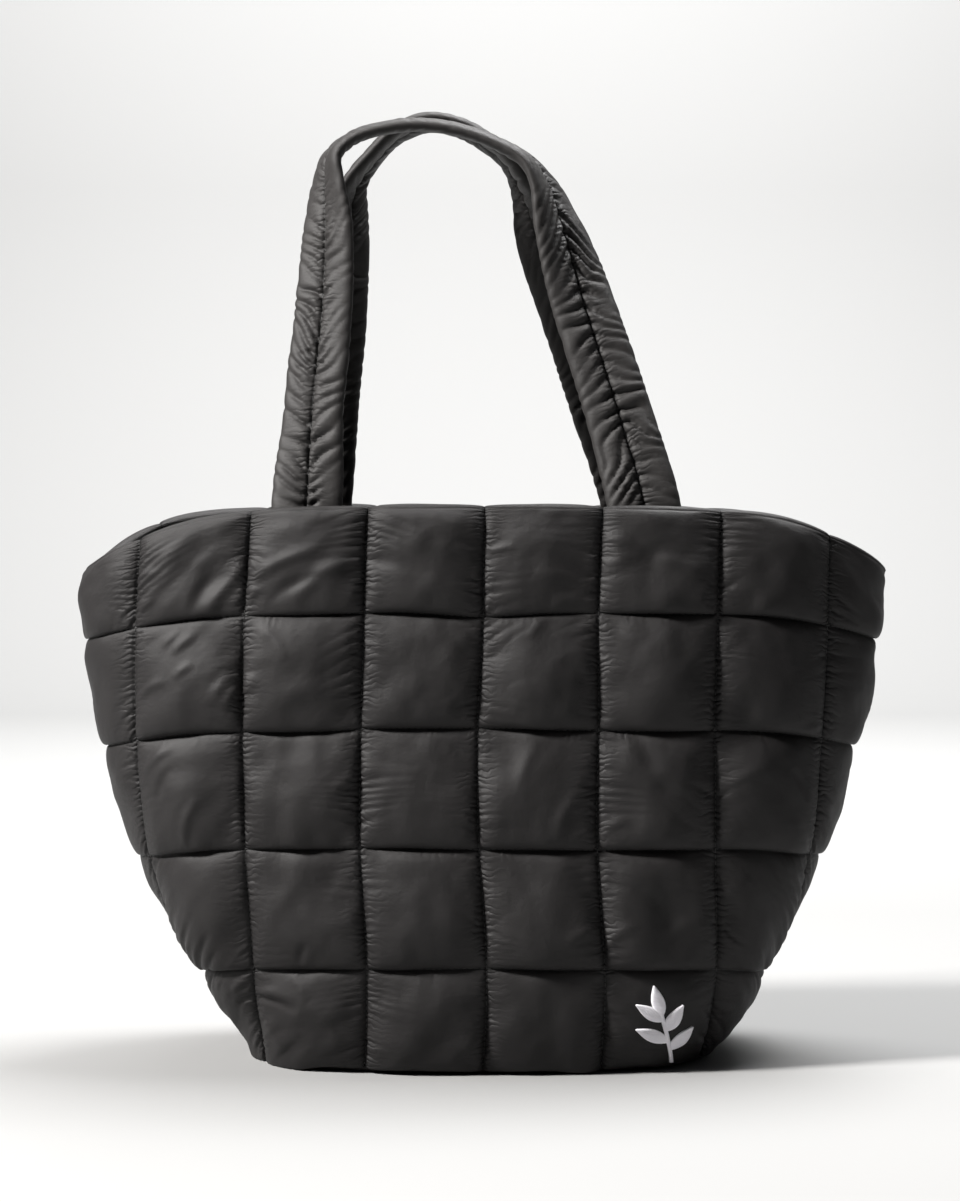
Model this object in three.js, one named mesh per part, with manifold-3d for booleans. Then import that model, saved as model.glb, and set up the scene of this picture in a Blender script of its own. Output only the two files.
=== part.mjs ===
// A quilted puffer tote bag. Two padded panels are sewn together at the sides and stand on a padded base, and two
// padded handles with a stitched centre line are sewn inside the mouth. Millimetres, +Z up, the front faces -Y,
// and the origin is on the floor below the middle of the bag.
import * as THREE from "three";
import Module from "manifold-3d";

const wasm = await Module();
wasm.setup();

// Driving sizes of the body
const bodyHeight = 337; // floor to the top of the rim, at the middle of the front
const mouthHalfWidth = 243; // middle of the mouth to a side seam
const mouthHalfDepth = 80; // middle of the mouth to the front
const sideDrop = 38; // how much lower the rim hangs at the side seams
const lowerSway = -3; // how far the body below the mouth leans to the right of it
const rimRound = 3; // the rounded edge above the last stitching
const seamGap = 0.4; // clearance between two pieces that are sewn together

// Driving sizes of the quilting
const cellSize = 70; // from one upright seam to the next
const halfCells = 3; // whole cells from the middle of the front to the corner seam
const narrowestStrip = 8; // least width of what is left between two seams at the side
const seamThickness = 3; // the wall where it is stitched through
const puffOut = 6; // how far a cell swells outwards
const puffIn = 3.5; // how far a cell swells inwards
const hemThickness = 3.5; // the plain facing inside the rim, from the middle of the wall

// Driving sizes of the base
const baseThickness = 6;
const baseEdge = 1; // how far the base stands out past the middle of the walls' foot
const baseRound = 5; // width of the rounded edge of the base

// Driving sizes of the handles
const footSpread = 101; // middle of the bag to the middle of a handle's foot
const handleRise = 236; // rim to the middle of the front handle's arch
const footDepth = 42; // length of handle that is sewn inside the mouth
const strapWidth = 40;
const strapThickness = 6.6;
const footFlare = 4; // extra width of the strap where it is sewn flat
const stitchedThickness = 2.2; // the strap along its centre line
const handleGap = 1; // between the two handles where they lean together
const footClearance = 0.9; // between a foot and the facing, over the facets of both
const gatherPitch = 27; // from one main gather of the strap to the next
const gatherDepth = 0.14; // share of the strap's thickness
const ringStep = 9; // from one outline of the strap to the next

// Driving sizes of the stitched sprig
const sprigLength = 54;
const sprigThread = 1.1; // how far the stitching is raised
const sprigClearance = 0.4; // between the stitching and the panel
const sprigAcross = 1.5; // cells to the right of the middle
const sprigUp = 0.5; // cells up from the base

// One row for each level seam, from the foot of the wall to the rim. Height is a share of the wall's height, width and
// depth are shares of the mouth's, drop is a share of sideDrop, sway of lowerSway, and squareness is the power of the
// superellipse.
const levels = [
  { height: 0, width: 0.565, depth: 1.05, drop: 0, sway: 0.5, squareness: 2.8 },
  { height: 0.173, width: 0.7, depth: 1.15, drop: 0.21, sway: 0.1, squareness: 3 },
  { height: 0.39, width: 0.853, depth: 1.13, drop: 0.27, sway: 1.2, squareness: 3 },
  { height: 0.604, width: 0.932, depth: 1.1, drop: 0.38, sway: 1.1, squareness: 2.9 },
  { height: 0.811, width: 0.986, depth: 1.06, drop: 0.45, sway: 0.8, squareness: 2.8 },
  { height: 1, width: 1, depth: 1, drop: 1, sway: 0, squareness: 2.7 },
];

// How late the rim starts to drop on its way to a side seam: the power of the distance from the middle.
const dropBends = {
  front: { left: 4.5, right: 5.4 },
  back: { left: 7.5, right: 5.4 },
};

// The swelling of a cell from one seam to the next, and that of the top cells from their seam to the rim. They are
// read along straight lines, so the facets of a panel are this shape exactly.
const pillow = [
  { share: 0, rise: 0 },
  { share: 0.14, rise: 0.62 },
  { share: 0.5, rise: 1 },
  { share: 0.86, rise: 0.62 },
  { share: 1, rise: 0 },
];
const pillowAtRim = [
  { share: 0, rise: 0 },
  { share: 0.14, rise: 0.62 },
  { share: 0.5, rise: 1 },
  { share: 0.86, rise: 0.9 },
  { share: 1, rise: 0.5 },
];

// The main dents of the front. Across and up are in cells from the middle and from the foot, reach is in cells, and
// depth is a share of the swelling.
const dents = [
  { across: -3.45, up: 3.5, reach: 0.3, depth: 0.55 },
  { across: -3.2, up: 2.35, reach: 0.3, depth: 0.75 },
  { across: -2.3, up: 4.4, reach: 0.32, depth: 0.6 },
  { across: -2.15, up: 0.5, reach: 0.28, depth: 0.6 },
  { across: -1.4, up: 1.6, reach: 0.25, depth: 0.3 },
  { across: 1.6, up: 1.45, reach: 0.3, depth: 0.4 },
  { across: 2.7, up: 1.35, reach: 0.25, depth: 0.4 },
  { across: 1.45, up: 4.4, reach: 0.3, depth: 0.3 },
];

// The middle line of each handle above the rim, from the left foot to the right one. Across is a share of footSpread,
// rise of handleRise, and turn is a share of the quarter turn that brings the strap's face from front to top.
const handlePaths = {
  front: {
    feet: [-1.065, 0.95],
    points: [
      { across: -1.02, rise: 0.267, turn: 0.26 },
      { across: -0.967, rise: 0.525, turn: 0.3 },
      { across: -0.95, rise: 0.73, turn: 0.46 },
      { across: -0.955, rise: 0.84, turn: 0.68 },
      { across: -0.93, rise: 0.915, turn: 0.86 },
      { across: -0.81, rise: 0.963, turn: 0.92 },
      { across: -0.6, rise: 0.992, turn: 0.93 },
      { across: -0.38, rise: 1, turn: 0.93 },
      { across: -0.15, rise: 0.985, turn: 0.93 },
      { across: 0.06, rise: 0.952, turn: 0.93 },
      { across: 0.25, rise: 0.905, turn: 0.9 },
      { across: 0.36, rise: 0.84, turn: 0.76 },
      { across: 0.445, rise: 0.73, turn: 0.48 },
      { across: 0.59, rise: 0.525, turn: 0.16 },
      { across: 0.78, rise: 0.267, turn: 0.05 },
    ],
  },
  back: {
    feet: [-1.07, 0.97],
    points: [
      { across: -0.99, rise: 0.267, turn: 0.16 },
      { across: -0.925, rise: 0.525, turn: 0.25 },
      { across: -0.885, rise: 0.7, turn: 0.42 },
      { across: -0.85, rise: 0.8, turn: 0.66 },
      { across: -0.81, rise: 0.868, turn: 0.86 },
      { across: -0.7, rise: 0.932, turn: 0.94 },
      { across: -0.545, rise: 0.995, turn: 0.95 },
      { across: -0.36, rise: 1.026, turn: 0.95 },
      { across: -0.16, rise: 1.013, turn: 0.95 },
      { across: 0.03, rise: 0.968, turn: 0.95 },
      { across: 0.155, rise: 0.92, turn: 0.94 },
      { across: 0.252, rise: 0.842, turn: 0.8 },
      { across: 0.345, rise: 0.72, turn: 0.48 },
      { across: 0.545, rise: 0.515, turn: 0.18 },
      { across: 0.75, rise: 0.262, turn: 0.05 },
    ],
  },
};

// The leaves of the sprig. Along is where a leaf leaves the stem, angle is its lean from the stem in degrees, and
// length and width are shares of the sprig's length.
const leaves = [
  { along: 0.2, angle: 52, length: 0.4, width: 0.17 },
  { along: 0.32, angle: -52, length: 0.4, width: 0.17 },
  { along: 0.48, angle: 46, length: 0.36, width: 0.16 },
  { along: 0.6, angle: -46, length: 0.34, width: 0.15 },
  { along: 0.66, angle: 0, length: 0.34, width: 0.15 },
];
const sprigLean = -14; // degrees from upright
const stemWidth = 0.045; // share of the sprig's length

const nylon = new THREE.MeshStandardMaterial({ color: 0x1d1c1c, roughness: 0.6, metalness: 0 });
const baseNylon = nylon.clone();
const strapNylon = new THREE.MeshStandardMaterial({ color: 0x232121, roughness: 0.58, metalness: 0 });
const whiteThread = new THREE.MeshStandardMaterial({ color: 0xe9e7ec, roughness: 0.5, metalness: 0 });

const top = levels.length - 1;
const wallFoot = baseThickness + seamGap;
const wallHeight = bodyHeight - rimRound - wallFoot;
const sideOf = { front: -1, back: 1 };

// A column of a table at a share between its rows, along straight lines.
function readStraight(table, share) {
  const next = Math.max(1, table.findIndex((row) => row.share >= share));
  const [a, b] = [table[next - 1], table[next]];
  return THREE.MathUtils.mapLinear(share, a.share, b.share, a.rise, b.rise);
}

// A column of a table at a place counted in rows, on a smooth curve through the rows.
function readSmooth(table, column, place) {
  const row = (i) => table[THREE.MathUtils.clamp(i, 0, table.length - 1)][column];
  const i = Math.min(Math.floor(place), table.length - 2);
  const t = place - i;
  const [a, b, c, d] = [row(i - 1), row(i), row(i + 1), row(i + 2)];
  const slopeIn = (c - a) / 2;
  const slopeOut = (d - b) / 2;
  return b + t * (slopeIn + t * (3 * (c - b) - 2 * slopeIn - slopeOut + t * (2 * (b - c) + slopeIn + slopeOut)));
}

// A quarter of the level section, from the middle of the front to the side seam, with the distance run along it.
const sectionSteps = 60;
const sections = new Map();
function quarterSection(level) {
  if (sections.has(level)) return sections.get(level);
  const halfWidth = mouthHalfWidth * readSmooth(levels, "width", level);
  const halfDepth = mouthHalfDepth * readSmooth(levels, "depth", level);
  const power = 2 / readSmooth(levels, "squareness", level);
  const points = [];
  for (let i = 0; i <= sectionSteps; i++) {
    const angle = ((i / sectionSteps) * Math.PI) / 2;
    const x = halfWidth * Math.sin(angle) ** power;
    const y = halfDepth * Math.max(0, Math.cos(angle)) ** power;
    const before = points.at(-1) ?? { x, y, run: 0 };
    points.push({ x, y, run: before.run + Math.hypot(x - before.x, y - before.y) });
  }
  sections.set(level, points);
  return points;
}

const halfLength = (level) => quarterSection(level).at(-1).run;

// A point on the middle of a panel's wall, at a distance along the section from the panel's middle line.
function wallPoint(panel, distance, level) {
  const points = quarterSection(level);
  const run = Math.min(Math.abs(distance), points.at(-1).run);
  const next = Math.max(1, points.findIndex((p) => p.run >= run));
  const [a, b] = [points[next - 1], points[next]];
  const x = THREE.MathUtils.mapLinear(run, a.run, b.run, a.x, b.x);
  const y = THREE.MathUtils.mapLinear(run, a.run, b.run, a.y, b.y);
  const bend = distance < 0 ? dropBends[panel].left : dropBends[panel].right;
  const drop = sideDrop * readSmooth(levels, "drop", level) * (x / points.at(-1).x) ** bend;
  return new THREE.Vector3(
    Math.sign(distance) * x + lowerSway * readSmooth(levels, "sway", level),
    sideOf[panel] * (y + seamGap / 2),
    wallFoot + wallHeight * readSmooth(levels, "height", level) - drop,
  );
}

// The directions along the section, up the wall and out of it.
function wallFrame(panel, distance, level) {
  const step = 1;
  const levelStep = step / cellSize;
  const half = halfLength(level);
  const within = (d) => THREE.MathUtils.clamp(d, -half, half);
  const inLevels = (l) => THREE.MathUtils.clamp(l, 0, top);
  const along = wallPoint(panel, within(distance + step), level)
    .sub(wallPoint(panel, within(distance - step), level))
    .normalize();
  const share = distance / half;
  const [above, below] = [inLevels(level + levelStep), inLevels(level - levelStep)];
  const up = wallPoint(panel, share * halfLength(above), above)
    .sub(wallPoint(panel, share * halfLength(below), below))
    .normalize();
  const out = along.clone().cross(up).normalize().multiplyScalar(-sideOf[panel]);
  return { along, up, out };
}

// Distances of the upright seams from the middle line, from one side seam to the other.
function seamDistances(level) {
  const half = halfLength(level);
  const right = [];
  for (let k = 1; k <= halfCells; k++)
    right.push(Math.min(k * cellSize, half - (halfCells + 1 - k) * narrowestStrip));
  right.push(half);
  return [...right.toReversed().map((d) => -d), 0, ...right];
}

// How far a dent pushes in the swelling, as a share that stays.
function undented(panel, distance, level) {
  if (panel !== "front") return 1;
  const across = distance / cellSize;
  return dents.reduce((rest, dent) => {
    const away = Math.hypot(across - dent.across, level - dent.up) / dent.reach;
    return rest * (1 - dent.depth * Math.exp(-away * away));
  }, 1);
}

// The swelling of the wall, from 0 on a seam to 1 in the middle of a whole cell.
function swelling(panel, distance, level) {
  const seams = seamDistances(level);
  const strip = Math.max(1, seams.findIndex((d) => d >= distance - 1e-6));
  const width = seams[strip] - seams[strip - 1];
  const share = THREE.MathUtils.clamp((distance - seams[strip - 1]) / width, 0, 1);
  const row = Math.min(Math.floor(level), top - 1);
  const upward = readStraight(row === top - 1 ? pillowAtRim : pillow, level - row);
  return readStraight(pillow, share) * upward * Math.min(1, width / cellSize) * undented(panel, distance, level);
}

// Points on the two faces of a panel's wall.
function outerPoint(panel, distance, level, raised = 0) {
  const offset = seamThickness / 2 + puffOut * swelling(panel, distance, level) + raised;
  return wallPoint(panel, distance, level).addScaledVector(wallFrame(panel, distance, level).out, offset);
}
function innerPoint(panel, distance, level) {
  const hem = THREE.MathUtils.smoothstep(level, top - 1, top - 0.7);
  const quilted = seamThickness / 2 + puffIn * swelling(panel, distance, level);
  const offset = THREE.MathUtils.lerp(quilted, hemThickness, hem);
  return wallPoint(panel, distance, level).addScaledVector(wallFrame(panel, distance, level).out, -offset);
}

// A closed geometry through rings of as many points each. The points of a ring pair up, first with last, and the two
// end faces are closed along these pairs. The faces are turned outwards at the end.
function loft(rings) {
  const count = rings[0].length;
  const positions = rings.flat().flatMap((p) => p.toArray());
  let faces = [];
  const quad = (a, b, c, d) => faces.push([a, b, c], [a, c, d]);
  for (let r = 0; r + 1 < rings.length; r++)
    for (let k = 0; k < count; k++) {
      const [here, next] = [r * count + k, r * count + ((k + 1) % count)];
      quad(here, next, next + count, here + count);
    }
  const last = (rings.length - 1) * count;
  for (let i = 0, j = count - 1; i < j; i++, j--) {
    if (j - i === 2) {
      faces.push([j, i + 1, i], [last + i, last + i + 1, last + j]);
    } else if (j - i > 2) {
      quad(j, j - 1, i + 1, i);
      quad(last + i, last + i + 1, last + j - 1, last + j);
    }
  }
  const corner = (i) => new THREE.Vector3().fromArray(positions, 3 * i);
  const volume = faces.reduce((sum, [a, b, c]) => sum + corner(a).dot(corner(b).cross(corner(c))), 0);
  if (volume < 0) faces = faces.map(([a, b, c]) => [a, c, b]);
  const geometry = new THREE.BufferGeometry();
  geometry.setAttribute("position", new THREE.Float32BufferAttribute(positions, 3));
  geometry.setIndex(faces.flat());
  geometry.computeVertexNormals();
  return geometry;
}

function named(name, geometry, material) {
  const mesh = new THREE.Mesh(geometry, material);
  mesh.name = name;
  return mesh;
}

// A quilted panel: a ring runs up the outside of the wall, over the rounded rim and down the inside, and the rings
// follow each other from one side seam to the other.
function panelGeometry(panel) {
  const shares = pillow.map((row) => row.share).slice(0, -1);
  const heights = [];
  for (let row = 0; row < top; row++) heights.push(...shares.map((share) => row + share));
  heights.push(top);
  const columns = [];
  const strips = seamDistances(0).length - 1;
  for (let strip = 0; strip < strips; strip++) columns.push(...shares.map((share) => [strip, share]));
  columns.push([strips - 1, 1]);
  const rings = columns.map(([strip, share]) => {
    const distanceAt = (level) => {
      const seams = seamDistances(level);
      return THREE.MathUtils.lerp(seams[strip], seams[strip + 1], share);
    };
    const outer = heights.map((level) => outerPoint(panel, distanceAt(level), level));
    const inner = heights.map((level) => innerPoint(panel, distanceAt(level), level));
    const ridge = outer.at(-1).clone().lerp(inner.at(-1), 0.5);
    ridge.z += rimRound;
    return [...outer, ridge, ...inner.toReversed()];
  });
  return loft(rings);
}

// The base: outlines stacked from the floor up, each drawn in from the widest one by its inset.
function baseGeometry() {
  const profile = [
    { inset: 1, up: 0 },
    { inset: 0.25, up: 0.17 },
    { inset: 0, up: 0.5 },
    { inset: 0.08, up: 0.83 },
    { inset: 0.4, up: 1 },
  ];
  const outlineSteps = 56;
  const [halfWidth, halfDepth] = [mouthHalfWidth * levels[0].width, mouthHalfDepth * levels[0].depth];
  const power = 2 / levels[0].squareness;
  const rings = profile.map(({ inset, up }) => {
    const out = baseEdge - baseRound * inset;
    const ring = [];
    for (let i = 0; i < outlineSteps; i++) {
      const angle = ((i + 0.5) / outlineSteps) * 2 * Math.PI;
      const [c, s] = [Math.cos(angle), Math.sin(angle)];
      const x = Math.sign(c) * (halfWidth + out) * Math.abs(c) ** power;
      const y = Math.sign(s) * (halfDepth + out) * Math.abs(s) ** power;
      ring.push(new THREE.Vector3(x + lowerSway * levels[0].sway, y, up * baseThickness));
    }
    return ring;
  });
  return loft(rings);
}

// The outline of the strap across its width: two padded lobes with the stitched line between them. Width is a share
// of the half width and thick a share of the half thickness.
const strapProfile = [
  { width: -0.87, thick: 0.72 },
  { width: -0.5, thick: 1 },
  { width: -0.14, thick: 0.72 },
  { width: 0, thick: stitchedThickness / strapThickness },
  { width: 0.14, thick: 0.72 },
  { width: 0.5, thick: 1 },
  { width: 0.87, thick: 0.72 },
];

// The gathers of the strap: the padding swells and thins along each lobe, out of step with the lobe beside it.
function gathered(width, run) {
  const wave = Math.sin((2 * Math.PI * run) / gatherPitch + 2.4 * Math.abs(width) + (width < 0 ? 0 : 1.9));
  return 1 + gatherDepth * Math.abs(width) * wave;
}

// A handle: the strap's outline carried along its middle line and turned about it on the way.
function handleGeometry(panel) {
  const { feet, points } = handlePaths[panel];
  const side = sideOf[panel];
  const archDepth = side * (strapWidth + handleGap) / 2;
  const footOffset = hemThickness + footClearance + strapThickness / 2;
  const footLevels = [0, 0.5, 1].map((share) => top - (1 - share) * (footDepth / cellSize));
  const foot = (across) =>
    footLevels.map((level) => {
      const distance = across * footSpread;
      const { along, out } = wallFrame(panel, distance, level);
      const position = wallPoint(panel, distance, level).addScaledVector(out, -footOffset);
      const turn = Math.abs(Math.atan2(along.y, along.x)) / (Math.PI / 2);
      return { position, turn, flare: 1 };
    });
  const left = foot(feet[0]);
  const right = foot(feet[1]).toReversed();
  const rim = bodyHeight - rimRound;
  const middle = points.map(({ across, rise, turn }) => {
    const footY = THREE.MathUtils.mapLinear(across, feet[0], feet[1], left.at(-1).position.y, right[0].position.y);
    const y = THREE.MathUtils.lerp(footY, archDepth, Math.min(1, rise));
    const position = new THREE.Vector3(across * footSpread, y, rim + rise * handleRise);
    return { position, turn, flare: 0 };
  });
  const stations = [...left, ...middle, ...right];
  const line = new THREE.CatmullRomCurve3(stations.map((s) => s.position), false, "centripetal");
  line.arcLengthDivisions = 800;
  const length = line.getLength();
  const ringCount = Math.round(length / ringStep);
  const depth = new THREE.Vector3(0, side, 0);
  const rings = [];
  for (let r = 0; r <= ringCount; r++) {
    const t = line.getUtoTmapping(r / ringCount);
    const place = t * (stations.length - 1);
    const centre = line.getPoint(t);
    const tangent = line.getTangent(t);
    const outward = tangent.clone().cross(new THREE.Vector3(0, 1, 0)).normalize();
    const facing = depth.clone().addScaledVector(tangent, -depth.dot(tangent)).normalize();
    const angle = (readSmooth(stations, "turn", place) * Math.PI) / 2;
    const across = outward.clone().multiplyScalar(Math.cos(angle)).addScaledVector(facing, -Math.sin(angle));
    const face = facing.clone().multiplyScalar(Math.cos(angle)).addScaledVector(outward, Math.sin(angle));
    const halfWidth = (strapWidth + footFlare * readSmooth(stations, "flare", place)) / 2;
    const flat = THREE.MathUtils.clamp(readSmooth(stations, "flare", place), 0, 1);
    const at = (width, thick) =>
      centre.clone().addScaledVector(across, width * halfWidth).addScaledVector(face, (thick * strapThickness) / 2);
    const thicknessAt = ({ width, thick }) =>
      thick * THREE.MathUtils.lerp(gathered(width, (length * r) / ringCount), 1, flat);
    rings.push([
      at(-1, 0),
      ...strapProfile.map((row) => at(row.width, thicknessAt(row))),
      at(1, 0),
      ...strapProfile.toReversed().map((row) => at(row.width, -thicknessAt(row))),
    ]);
  }
  return loft(rings.map((ring) => [...ring.slice(1), ring[0]]));
}

// A flat stitched shape on the front panel, raised by the thread: its outline is given along its own length by the
// half width at each share, and it starts at a place on the sprig and leans from upright.
function stitchedGeometry(start, lean, length, halfWidthAt, steps) {
  const direction = new THREE.Vector2(Math.sin(lean), Math.cos(lean));
  const sideways = new THREE.Vector2(Math.cos(lean), -Math.sin(lean));
  const onPanel = (spot, raised) =>
    outerPoint("front", sprigAcross * cellSize + spot.x, sprigUp + spot.y / cellSize, raised);
  const rings = [];
  for (let i = 0; i <= steps; i++) {
    const middle = start.clone().addScaledVector(direction, (i / steps) * length);
    const half = halfWidthAt(i / steps);
    const [left, right] = [-half, half].map((w) => middle.clone().addScaledVector(sideways, w));
    rings.push([
      onPanel(left, sprigClearance),
      onPanel(middle, sprigClearance),
      onPanel(right, sprigClearance),
      onPanel(right, sprigClearance + sprigThread * 0.6),
      onPanel(middle, sprigClearance + sprigThread),
      onPanel(left, sprigClearance + sprigThread * 0.6),
    ]);
  }
  return loft(rings);
}

function solidOf(geometry) {
  const vertProperties = new Float32Array(geometry.getAttribute("position").array);
  const triVerts = new Uint32Array(geometry.getIndex().array);
  return new wasm.Manifold(new wasm.Mesh({ numProp: 3, vertProperties, triVerts }));
}

function geometryOf(solid) {
  const { vertProperties, triVerts } = solid.getMesh();
  const geometry = new THREE.BufferGeometry();
  geometry.setAttribute("position", new THREE.BufferAttribute(vertProperties, 3));
  geometry.setIndex(new THREE.BufferAttribute(triVerts, 1));
  geometry.computeVertexNormals();
  return geometry;
}

// The sprig: a stem and its leaves, each a band of satin stitch, joined where they cross.
function sprigGeometry() {
  const lean = THREE.MathUtils.degToRad(sprigLean);
  const up = new THREE.Vector2(Math.sin(lean), Math.cos(lean));
  const foot = up.clone().multiplyScalar(-sprigLength / 2);
  const stem = stitchedGeometry(foot, lean, sprigLength * 0.72, () => (stemWidth * sprigLength) / 2, 10);
  return geometryOf(
    leaves.reduce((whole, leaf) => {
      const start = foot.clone().addScaledVector(up, leaf.along * sprigLength);
      const leafLean = lean + THREE.MathUtils.degToRad(leaf.angle);
      const halfWidth = (share) => (leaf.width * sprigLength * (0.12 + Math.sin(Math.PI * share ** 0.8))) / 2.24;
      const blade = stitchedGeometry(start, leafLean, leaf.length * sprigLength, halfWidth, 8);
      return whole.add(solidOf(blade));
    }, solidOf(stem)),
  );
}

const bag = new THREE.Group();
bag.name = "puffer_tote_bag";
bag.add(
  named("front_panel", panelGeometry("front"), nylon),
  named("back_panel", panelGeometry("back"), nylon),
  named("base_panel", baseGeometry(), baseNylon),
  named("front_handle", handleGeometry("front"), strapNylon),
  named("back_handle", handleGeometry("back"), strapNylon),
  named("stitched_sprig", sprigGeometry(), whiteThread),
);

export default bag;
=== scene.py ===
# %% [markdown]
# # A quilted puffer tote bag
#
# The bag is sewn from thin black nylon over soft padding. Its two walls are stitched through in squares, so
# every square swells into a small pillow, and the thread draws the nylon in, so that fine puckers stand
# across each seam. Two padded straps rise from inside the mouth and turn on edge where they meet.
#
# The solid model of the bag is loaded first. It gives the frame and the size, and every piece made below is
# laid where its solid is.

import bpy
import numpy as np
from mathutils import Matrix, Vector


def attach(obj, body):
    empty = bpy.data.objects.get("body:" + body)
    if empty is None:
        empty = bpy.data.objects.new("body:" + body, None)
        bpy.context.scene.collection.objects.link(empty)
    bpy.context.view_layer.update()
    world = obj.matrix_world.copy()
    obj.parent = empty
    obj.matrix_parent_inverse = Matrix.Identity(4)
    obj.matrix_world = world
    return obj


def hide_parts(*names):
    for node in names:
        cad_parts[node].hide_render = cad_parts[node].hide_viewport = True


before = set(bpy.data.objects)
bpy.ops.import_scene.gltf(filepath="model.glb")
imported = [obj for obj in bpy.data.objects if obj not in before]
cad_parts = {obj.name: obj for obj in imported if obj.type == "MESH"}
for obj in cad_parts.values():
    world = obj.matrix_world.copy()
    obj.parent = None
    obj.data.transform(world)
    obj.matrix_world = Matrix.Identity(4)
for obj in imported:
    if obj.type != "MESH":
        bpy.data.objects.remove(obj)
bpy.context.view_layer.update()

# %% [markdown]
# ## The sizes
#
# All lengths are in metres. The walls are described by one row of numbers for each level seam, from the
# foot of the wall to the rim, so a smooth curve through a column of the table gives the bag's width, depth
# or lean at any height.

# %% The sizes of the body
BODY_HEIGHT = 0.337  # without the handles
MOUTH_HALF_WIDTH = 0.243
MOUTH_HALF_DEPTH = 0.080
SIDE_DROP = 0.038  # how much lower the rim lies at the side seams
LOWER_SWAY = -0.003  # how far the lower rows lean to the left
RIM_ROUND = 0.003
SEAM_GAP = 0.0004
SIDE_OVERLAP = 0.0008  # how far the panels run into each other at the side seams, which keeps light out
CELL = 0.070  # from one quilting seam to the next
HALF_CELLS = 3
NARROWEST_STRIP = 0.008
SEAM_THICKNESS = 0.003  # of the wall where it is stitched through
PUFF_OUT = 0.0082  # rise of a square's outer face
PUFF_IN = 0.0035  # rise of its inner face
HEM_THICKNESS = 0.0035
SAG = 0.0016  # how far a square hangs down over the level seam below it
FOOT_SAG = 0.0048  # the squares of the lowest row roll further, under the bag
SAG_PLACE = 0.06  # how far above the seam the sag is greatest, as a share of a row
FLOOR_GAP = 0.0002  # the cloth comes no nearer to the floor than this
SINK = 0.78  # power that carries the fullest part of a square downwards
BASE_THICKNESS = 0.006
BASE_EDGE = 0.001  # how far the base reaches out past the middle of the walls
BASE_ROUND = 0.005
WALL_FOOT = BASE_THICKNESS + SEAM_GAP
WALL_HEIGHT = BODY_HEIGHT - RIM_ROUND - WALL_FOOT
SIDE_OF = {"front": -1, "back": 1}

# columns: height, width, depth, drop, sway, squareness
LEVELS = np.array([
    [0.000, 0.565, 1.050, 0.00, 0.5, 2.8],
    [0.173, 0.700, 1.150, 0.21, 0.1, 3.0],
    [0.390, 0.853, 1.130, 0.27, 1.2, 3.0],
    [0.604, 0.932, 1.100, 0.38, 1.1, 2.9],
    [0.811, 0.986, 1.060, 0.45, 0.8, 2.8],
    [1.000, 1.000, 1.000, 1.00, 0.0, 2.7],
])
HEIGHT, WIDTH, DEPTH, DROP, SWAY, SQUARENESS = LEVELS.T
TOP = len(LEVELS) - 1
DROP_BENDS = {"front": (4.5, 5.4), "back": (7.5, 5.4)}  # how suddenly the rim drops, left and right

# columns: across and up in cells, reach in cells, depth as a share of the swelling
DENTS = np.array([
    [-3.45, 3.50, 0.30, 0.55],
    [-3.20, 2.35, 0.30, 0.75],
    [-2.30, 4.40, 0.32, 0.60],
    [-2.15, 0.50, 0.28, 0.60],
    [-1.40, 1.60, 0.25, 0.30],
    [1.60, 1.45, 0.30, 0.40],
    [2.70, 1.35, 0.25, 0.40],
    [1.45, 4.40, 0.30, 0.30],
])
print(f"wall: {WALL_HEIGHT:.4f} m high, {TOP} rows of {2 * HALF_CELLS} whole squares, {len(DENTS)} dents")

# %% [markdown]
# ## Reading a table and making noise
#
# A shape that changes with height could be given by a formula, but a short table is easier to match to a
# photograph, so one helper reads a column of a table on a smooth curve. Cloth also needs unevenness. The
# helper for that is the same on every run, because its random numbers are drawn from a seed.

# %% Read a table smoothly and make soft noise
def read_smooth(column, place):
    """Value of a table's column at a place counted in rows: a cubic through the four nearest rows whose
    slope at a row is half the difference of that row's neighbours."""
    i = np.minimum(np.floor(place).astype(int), len(column) - 2)
    t = place - i
    a, b, c, d = (column[np.clip(i + k, 0, len(column) - 1)] for k in (-1, 0, 1, 2))
    slope_in, slope_out = (c - a) / 2, (d - b) / 2
    bend = 3 * (c - b) - 2 * slope_in - slope_out
    return b + t * (slope_in + t * (bend + t * (2 * (b - c) + slope_in + slope_out)))


LATTICE = 64  # points of the noise's lattice in each direction, after which it repeats


def soft_noise(x, y, seed):
    """Noise from -1 to 1 over two parameters: random numbers on a lattice one unit apart, blended between
    the four nearest ones with a smooth step in each direction."""
    lattice = np.random.default_rng(seed).uniform(-1, 1, (LATTICE, LATTICE))
    x, y = np.broadcast_arrays(x, y)
    i, j = np.floor(x).astype(int), np.floor(y).astype(int)
    u, v = x - i, y - j
    u, v = u * u * (3 - 2 * u), v * v * (3 - 2 * v)
    near, far = i % LATTICE, (i + 1) % LATTICE
    low, high = j % LATTICE, (j + 1) % LATTICE
    below = lattice[near, low] * (1 - u) + lattice[far, low] * u
    above = lattice[near, high] * (1 - u) + lattice[far, high] * u
    return below * (1 - v) + above * v


def unit(vectors):
    """Each vector divided by its own length."""
    return vectors / np.maximum(np.linalg.norm(vectors, axis=-1, keepdims=True), 1e-12)


print("noise at a few places:", soft_noise(np.array([0.2, 0.8, 1.4]), 0.5, 11).round(3))

# %% [markdown]
# ## From arrays to a mesh
#
# A grid of points becomes a mesh of four-cornered faces. Adding the faces one by one would be slow at this
# fineness, so whole arrays go into the mesh at once. The ends of a tube are closed by one face each.

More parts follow.
